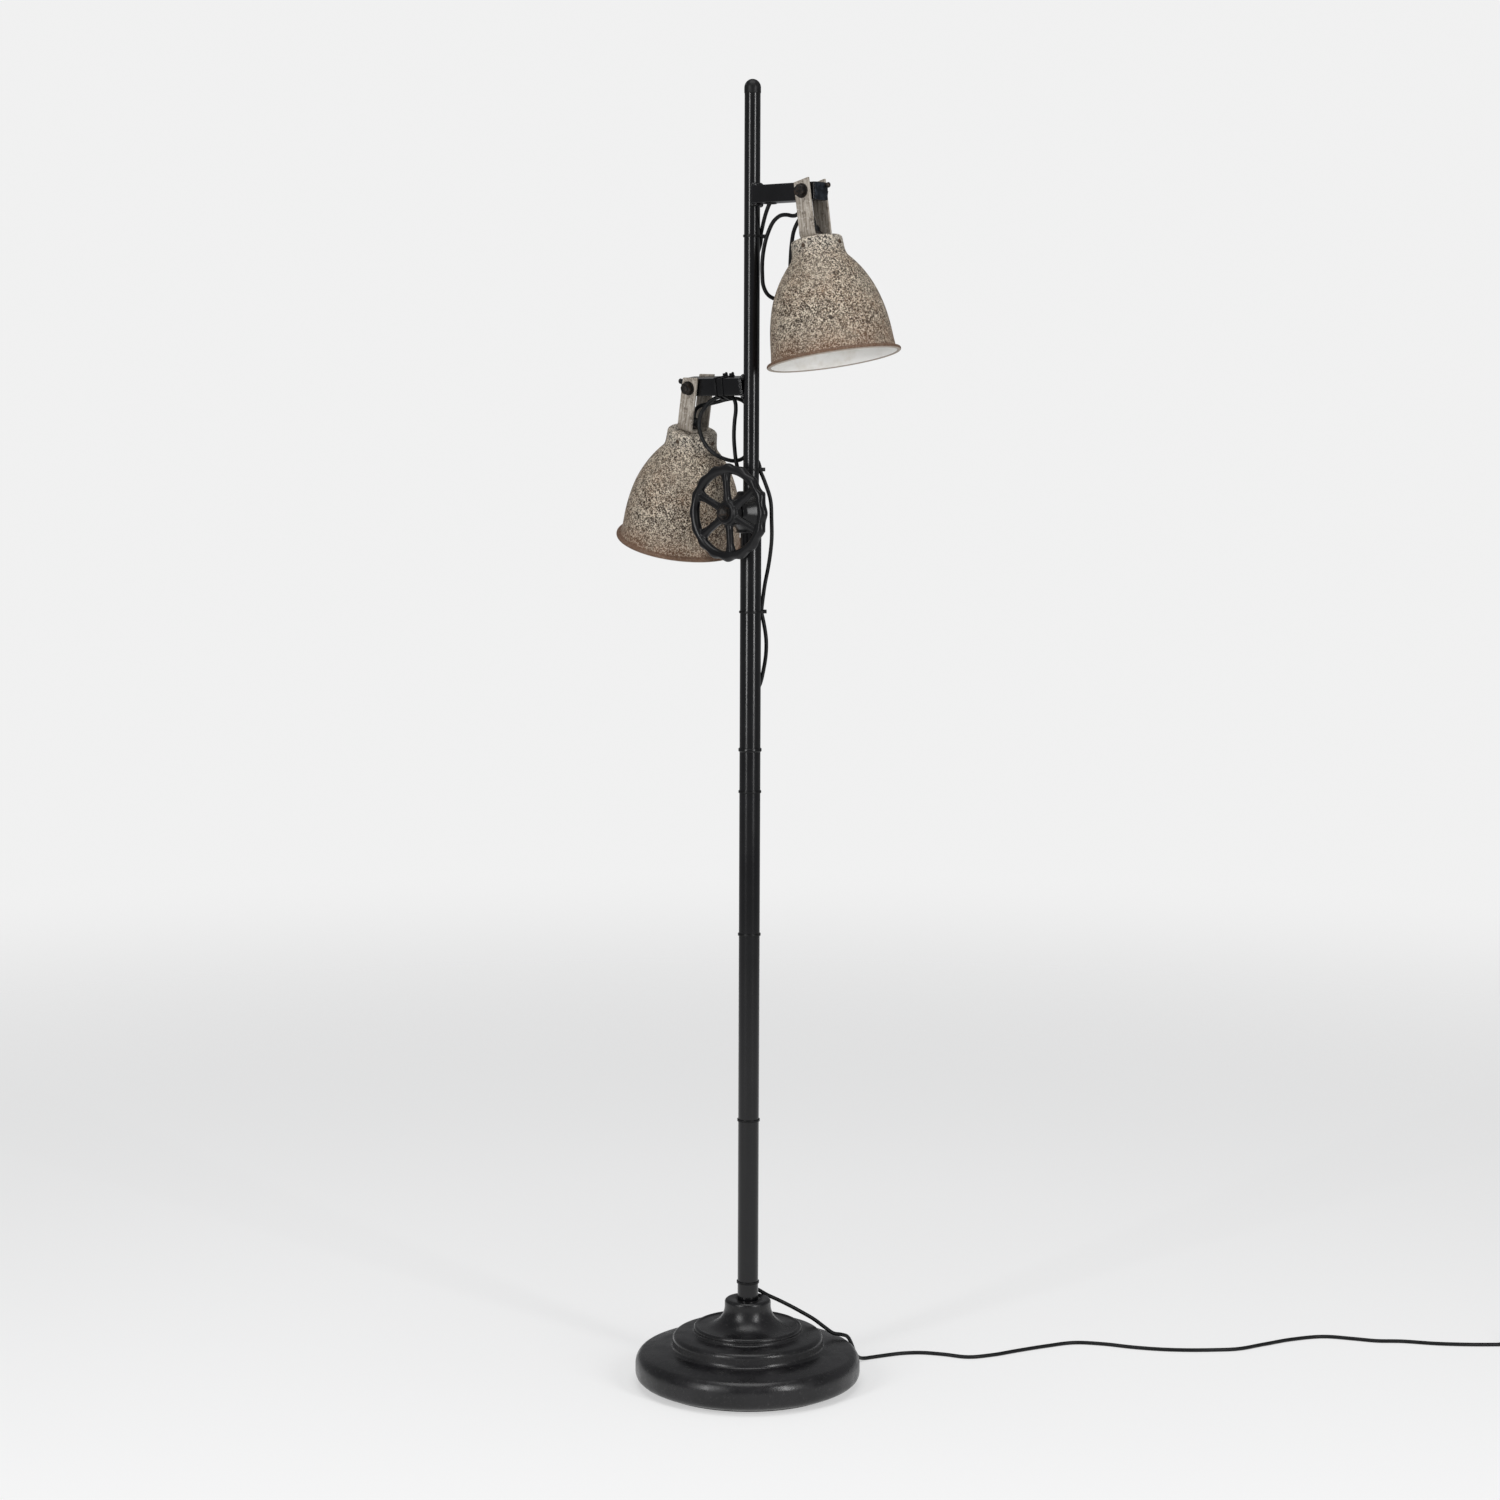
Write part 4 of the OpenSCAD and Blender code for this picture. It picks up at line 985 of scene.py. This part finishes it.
def make_collar():
    profile = [(11, 1048), (16.6, 1048), (17.5, 1049), (17.5, 1095), (16.8, 1096.8), (15.2, 1098)]
    profile += [(8, 1098), (8, 1070)]
    to_clamp = shift(0, 0, 1073) @ turn(90, "X")
    flange = rounded([(0, 6.6, 0), (24, 6.6, 1), (24, 12, 1.5), (15, 27, 6), (15, 33, 0.8), (0, 33, 0)], 4)
    boss = moved(lathed(flange, 72), to_clamp)
    skin = cast(joined("clamp_body", [lathed(profile, 72), boss]), 1.0, 5)
    skin = cut(skin, rod(12.76, 1040, 1084), rod(9.62, 1080, 1104), rod(5.1, 5, 40, to_clamp))
    stands_for(make_object("clamp_body", outward(skin), "wheel_black", None, 50), "clamp_collar")


# ---- Handwheel ----

def make_wheel():
    rim_r, rim_in = 6.4, 52.4

    def lobes(a, r, z):
        out = max(0.0, (r - rim_in) / rim_r)
        return out * 1.3 * (math.cos(16 * a) - 1)

    hub = [(4.5, 36), (15, 36), (16, 37), (16, 44.5), (15.2, 45.8), (13.6, 46.6)]
    hub += [(12.8, 49.2), (11.8, 50), (4.5, 50)]
    shells = [lathed(arc(rim_in, 43, rim_r, 6.0, 0, 345, 23), 256, lobes), lathed(hub, 72)]
    side = [(9, -6.5, 0), (14, -5.4, 6), (22, -4.1, 12), (38, -4.3, 10), (46, -6.6, 4), (51, -8.5, 0)]
    spoke = mirrored(side)
    rib = mirrored([(9, -2.2, 0), (50, -1.9, 0)])
    for i in range(6):
        way = turn(95 + 60 * i, "Z")
        shells.append(moved(prism(rounded(spoke, 4), 40.4, 45.4), way))
        shells.append(moved(prism(rounded(rib, 1), 39.2, 46.9), way))
    skin = cut(cast(joined("wheel_casting", shells), 0.75, 4), rod(5.06, 30, 55))
    stands_for(make_object("wheel_casting", outward(skin), "wheel_black", CLAMP, 50), "handwheel")
    dome = [(5.0, 54.6), (6.3, 54.8)] + arc(0, 54.9, 6.1, 5.6, 4, 86, 10)
    dome += [(0, 60.5), (0, 59.0), (4.9, 56.5)]
    nut = [moved(hexagon(13, 3.6, 4.9), shift(0, 0, 51.6)), lathed(dome, 48)]
    solid("wheel_acorn", nut, "dark_steel", "wheel_nut", CLAMP)


# ---- Arms ----

def weld(upright, height, side):
    """Lumpy weld bead round the mast, along an arm's top or bottom edge."""
    path, radii = [], []
    middle = upright @ Vector((0, 0, side * height))
    for k in range(41):
        a = math.radians(-62 + 124 * k / 40)
        lumps = noise.noise(Vector((k * 0.9, height, 3.1)))
        spot = (math.cos(a) * 10.6, middle.y + math.sin(a) * 10.6, side * (height + 0.6 + 0.25 * lumps))
        path.append(Vector(spot) * MM)
        radii.append((2.9 + 0.45 * lumps) * MM * min(1.0, 0.35 + 3 * math.sin(math.pi * k / 40)))
    return path, radii


def arm_body(name, arm, upright):
    """Box section, hollow towards its end, with the holes for the mast, the bolt and the cord."""
    end = arm["reach"] + 14.4
    body = bevelled(joined(name + "_arm_box", [block((end - 8.6, 24, 21), ((end + 8.6) / 2, 0, 0))]), 1.4, 4)
    holes = [block((end, 19, 16), (13.5 + end / 2 + 0.2, 0, 0)), rod(9.54, -20, 20, upright),
             rod(4.05, -30, 30, shift(arm["reach"], 0, 0) @ turn(90, "X"))]
    if name == "upper":
        holes += [rod(hole, -20, -3, shift(x, y, 0)) for x, y, hole in CORD_HOLES.values()]
    return cut(body, *holes)


def make_arms():
    paint = "black_metal"
    for name, arm in ARMS.items():
        upright = arm["frame"].to_3x3().inverted().to_4x4()
        body = arm_body(name, arm, upright)
        stands_for(make_object(name + "_arm_box", body, paint, arm["frame"]), name + "_arm")
        beads = {label: weld(upright, 10.5, side) for side, label in ((1, "top"), (-1, "bottom"))}
        for side, label in ((-1, "side_near"), (1, "side_far")):
            heights = range(-10, 11)
            lumps = [noise.noise(Vector((z * 0.8, side, 7))) for z in heights]
            beads[label] = ([Vector((9.2, side * 9.3, z)) * MM for z in heights],
                            [(2.2 + 0.4 * lump) * MM for lump in lumps])
        for label, (path, radii) in beads.items():
            bead = tube(f"{name}_weld_{label}", path, radii, paint, segments=12)
            bead.matrix_world = arm["frame"]
            goes_with(bead, name + "_arm")
    make_arm_ends()
    make_pivots()
    make_grommets()


def make_arm_ends():
    plates, pins = [], []
    ball = [(0, -1.2), (1.9, -1.2), (1.9, 0), (2.7, 0.05), (2.7, 1.1), (2.0, 1.5)]
    ball += arc(0, 3.4, 3.3, 2.1, -52, 90, 12)
    for arm in ARMS.values():
        place = in_mm(arm["frame"])
        plates.append(moved(block((1.55, 23.6, 20.6), (arm["reach"] + 15.22, 0, 0)), place))
        pins.append(moved(lathed(ball, 32), place @ shift(arm["reach"] + 16, 8.2, 7.4) @ turn(90, "Y")))
    # The caps' lighter bluish grey is partly painted light, standing in for the light on their end faces.
    solid("arm_caps", plates, "end_steel_and_painted_sheen", "arm_end_plugs", None, (0.5, 3))
    solid("arm_pins", pins, "dark_steel", "arm_end_screws")


def make_pivots():
    heads, nuts = [], []
    stub = [(0, -1), (3.9, -1), (3.9, 5.6)] + arc(0, 5.6, 3.4, 0.9, 0, 90, 5)
    for arm in ARMS.values():
        place = in_mm(arm["frame"])
        near = place @ shift(arm["reach"], -18.94, 0) @ turn(90, "X")
        far = place @ shift(arm["reach"], 18.94, 0) @ turn(-90, "X")
        heads.append(moved(hexagon(13, 5.5, 0.6, math.radians(12)), near))
        heads.append(moved(lathed([(0, -37.8), (3.92, -37.8), (3.92, 0), (0, 0)], 40), near))
        heads.append(moved(lathed(stub, 32), far))
        nuts.append(moved(hexagon(13, 5.6, 3.9, math.radians(20), True), far))
    solid("pivot_heads", heads, "dark_steel", "pivot_bolts")
    solid("pivot_hexes", nuts, "dark_steel", "pivot_nuts")


def make_grommets():
    for label, (x, y, hole) in CORD_HOLES.items():
        ring = arc(hole + 0.3, -10.8, 1.3, 1.0, 0, 345, 15)
        place = ARMS["upper"]["frame"] @ shift(x * MM, y * MM, 0)
        goes_with(lathe("grommet_" + label, ring, "black_plastic", place, 40), "upper_arm")


# ---- Ties ----

def around(*discs):
    """Outline of a band pulled tight round discs (x, y, radius), anticlockwise."""
    points = sorted((x + r * math.cos(math.radians(a)), y + r * math.sin(math.radians(a)))
                    for x, y, r in discs for a in range(0, 360, 9))
    halves = []
    for run in (points, points[::-1]):
        chain = []
        for p in run:
            while len(chain) > 1 and ((chain[-1][0] - chain[-2][0]) * (p[1] - chain[-2][1])
                                      - (chain[-1][1] - chain[-2][1]) * (p[0] - chain[-2][0])) <= 1e-9:
                chain.pop()
            chain.append(p)
        halves += chain[:-1]
    return halves


def tie_shells(place, discs, lock, lock_turn):
    """Band round the discs, with its lock and the stub of its tail."""
    band = ribbon(around(*discs), 2.8, 1.15)
    head = block((3.4, 4.6, 4.6), (1.9, 0, 0))
    stub = block((3.6, 1.2, 2.6), (3.4, 0.4, 0))
    at = place @ shift(*lock) @ turn(lock_turn, "Z")
    return [moved(band, place), moved(head, at), moved(stub, at @ turn(25, "Z"))]


def pole_tie(radius, angle, distance, height):
    """Tie that holds a cord to the pole or the mast, at that angle and distance from its middle."""
    place = shift(0, 0, height) @ turn(angle, "Z")
    return tie_shells(place, [(0, 0, radius + 0.02), (distance, 0, TIED_R)], (distance + 2.7, 0, 0), 0)


def make_ties():
    shells = pole_tie(TUBE_R, 117.4, 15.2, 127) + pole_tie(TUBE_R, 69.9, 15.15, 953)
    for height in (330, 560, 735):
        shells += pole_tie(TUBE_R, 130.2, 15.2, height)
    solid("stand_ties", shells, "tie_plastic", "stand_cable_ties", None, (0.28, 2))
    shells = pole_tie(MAST_R, 67.3, 11.93, 1124) + pole_tie(MAST_R, 65.4, 12, 1401)
    clip = [(TIED_R, -3), (4.1, -3), (4.3, -2.6), (4.3, 2.6), (4.1, 3), (TIED_R, 3)]
    for height in (1184, 1285, 1339):
        shells.append(moved(lathed(clip, 32), shift(0, 0, height) @ turn(128.3, "Z") @ shift(12.11, 0, 0)))
    corners = [(y, z, 0.6) for y in (-11.42, 11.42) for z in (-9.92, 9.92)]
    for x in (36, 46):
        standing = in_mm(ARMS["lower"]["frame"]) @ shift(x, 0, 0) @ ALONG_X
        shells += tie_shells(standing, corners + [(0, -13.0, TIED_R)], (-8.5, 10.6, 0), 90)
    solid("mast_ties", shells, "tie_plastic", "mast_cable_ties", None, (0.28, 2))
    profile = [(0, 1139.2), (3.0, 1139.2), (3.6, 1141), (5.4, 1143.4), (5.8, 1144.6)]
    for z in (1147, 1151, 1155):
        profile += [(6.0, z - 1), (5.5, z - 0.5), (5.5, z + 0.5), (6.0, z + 1)]
    profile += [(5.8, 1158.4), (5.2, 1160), (3.5, 1162), (0, 1162)]
    stands_for(lathe("cord_split", profile, "black_plastic", shift(-0.0075, 0.0126, 0), 48), "cord_junction")


# ---- Lamp heads ----

def shade_outline():
    """Outside of the shade from its top hole to the lip, and the inside back up, in millimetres."""
    crown = [(5.1, 0), (16, 0.0), (25.2, -0.15)] + arc(26.3, -4.2, 4.2, 4.2, 84, 4, 8)
    points = [(30.6, -5.5), (30.9, -10), (31.3, -15), (31.8, -18.9), (33.2, -22.9), (39, -29.9), (48, -41.9),
              (56, -55.9), (62, -69.9), (66.5, -84.9), (69.5, -98.9), (71.5, -112.9), (72.75, -127.5)]
    points.append((73.6, -136))
    bell = [(p.x, p.y) for p in smooth_path([(x, y, 0) for x, y in points], 3.0)]
    lip = [(74.3, -138.4)] + arc(77, -141.5, 2.5, 2.5, 115, -150, 14)
    outside = crown + bell + lip
    inside = [(73.9, -141.5), (72.8, -138.2)] + [(x - 1.0, y - 0.25) for x, y in reversed(bell)]
    inside += arc(26.3, -4.2, 3.2, 3.2, 4, 84, 6) + [(16, -1), (5.1, -1)]
    return outside, inside


def make_shade(name, head):
    outside, inside = shade_outline()
    seed = 4.0 if name == "upper" else 9.0

    def dents(a, r, z):
        if z > -18:
            return 0.0
        share = min(1.0, (-18 - z) / 30)
        return share * 0.4 * noise.noise(Vector((1.6 * math.cos(a), 1.6 * math.sin(a), z / 45 + seed)))

    mesh = outward(make_mesh(name + "_bell", *lathed(outside + inside, 192, dents)))
    piece = make_object(name + "_bell", mesh, "worn_shade", foot_frame(head), 60)
    mesh.materials.append(MATERIALS["shade_lining"])
    for face in mesh.polygons:
        rings = [index // 192 for index in face.vertices]
        wraps = max(rings) - min(rings) > 1
        face.material_index = 1 if min(rings) >= len(outside) - 1 and not wraps else 0
    stands_for(piece, name + "_shade", name + "_shade_neck")
    dome = [(0, -1.6), (1.3, -1.6), (1.3, 0), (2.7, 0)] + arc(0, 0.1, 2.6, 1.5, 4, 90, 6)
    spots = [turn(5 + 90 * k, "Z") @ shift(30.95, 0, -9.5) @ turn(90, "Y") for k in range(4)]
    screws = joined(name + "_neck_screws", [moved(lathed(dome, 24), spot) for spot in spots])
    goes_with(make_object(screws.name, screws, "rusty_screw", foot_frame(head)), name + "_shade_neck")


def make_bracket(name, head):
    tilt, lean = (math.tan(math.radians(angle)) for angle in head["set"])
    half, top = 14.3, 13
    spine = [(-half, top, 0), (-half, -FOOT_DROP - half * tilt, 3.4), (half, -FOOT_DROP + half * tilt, 3.4),
             (half, top, 0)]
    outline = rounded(spine, 6)
    verts, faces = ribbon(outline, 22, 3, closed=False)
    slope = math.tan(math.radians(head["cut"]))
    last = len(outline) - 1
    verts = [(x, y + z * (slope if i // 4 in (0, last) else -lean), z) for i, (x, y, z) in enumerate(verts)]
    mesh = bevelled(joined(name + "_strap", [moved((verts, faces), ALONG_X)]), 0.8, 3)
    mesh = cut(mesh, rod(4.05, -40, 40, turn(90, "X")), rod(5.1, -70, -40))
    stands_for(make_object(name + "_strap", mesh, "worn_bracket", head["frame"]), name + "_bracket")


def make_fixings(name, head):
    place = foot_frame(head)
    nut = [hexagon(15, 4, 5.02, 0.3, True)]
    solid(name + "_jam_nut", nut, "dark_steel", name + "_locknut", place @ shift(0, 0, 0.003))
    profile = [(2.45, 7.0), (5.9, 7.0), (6.2, 7.3)]
    for z in (8.4, 9.6, 10.8):
        profile += [(6.2, z - 0.5), (5.7, z - 0.3), (5.7, z + 0.2), (6.2, z + 0.4)]
    profile += [(6.0, 11.6), (5.2, 13.2), (4.7, 14.7), (4.2, 15.0), (2.45, 15.0)]
    stands_for(lathe(name + "_gland", profile, "black_plastic", place, 48), name + "_cord_grip")


def make_heads():
    for name, head in HEADS.items():
        make_shade(name, head)
        make_bracket(name, head)
        make_fixings(name, head)


def main():
    scene.view_settings.view_transform = "Standard"
    add_camera()
    add_lights()
    add_world()
    add_floor()
    paint_cad_nodes()
    make_cords()
    make_base()
    make_pole()
    make_collar()
    make_wheel()
    make_arms()
    make_ties()
    make_heads()


main()
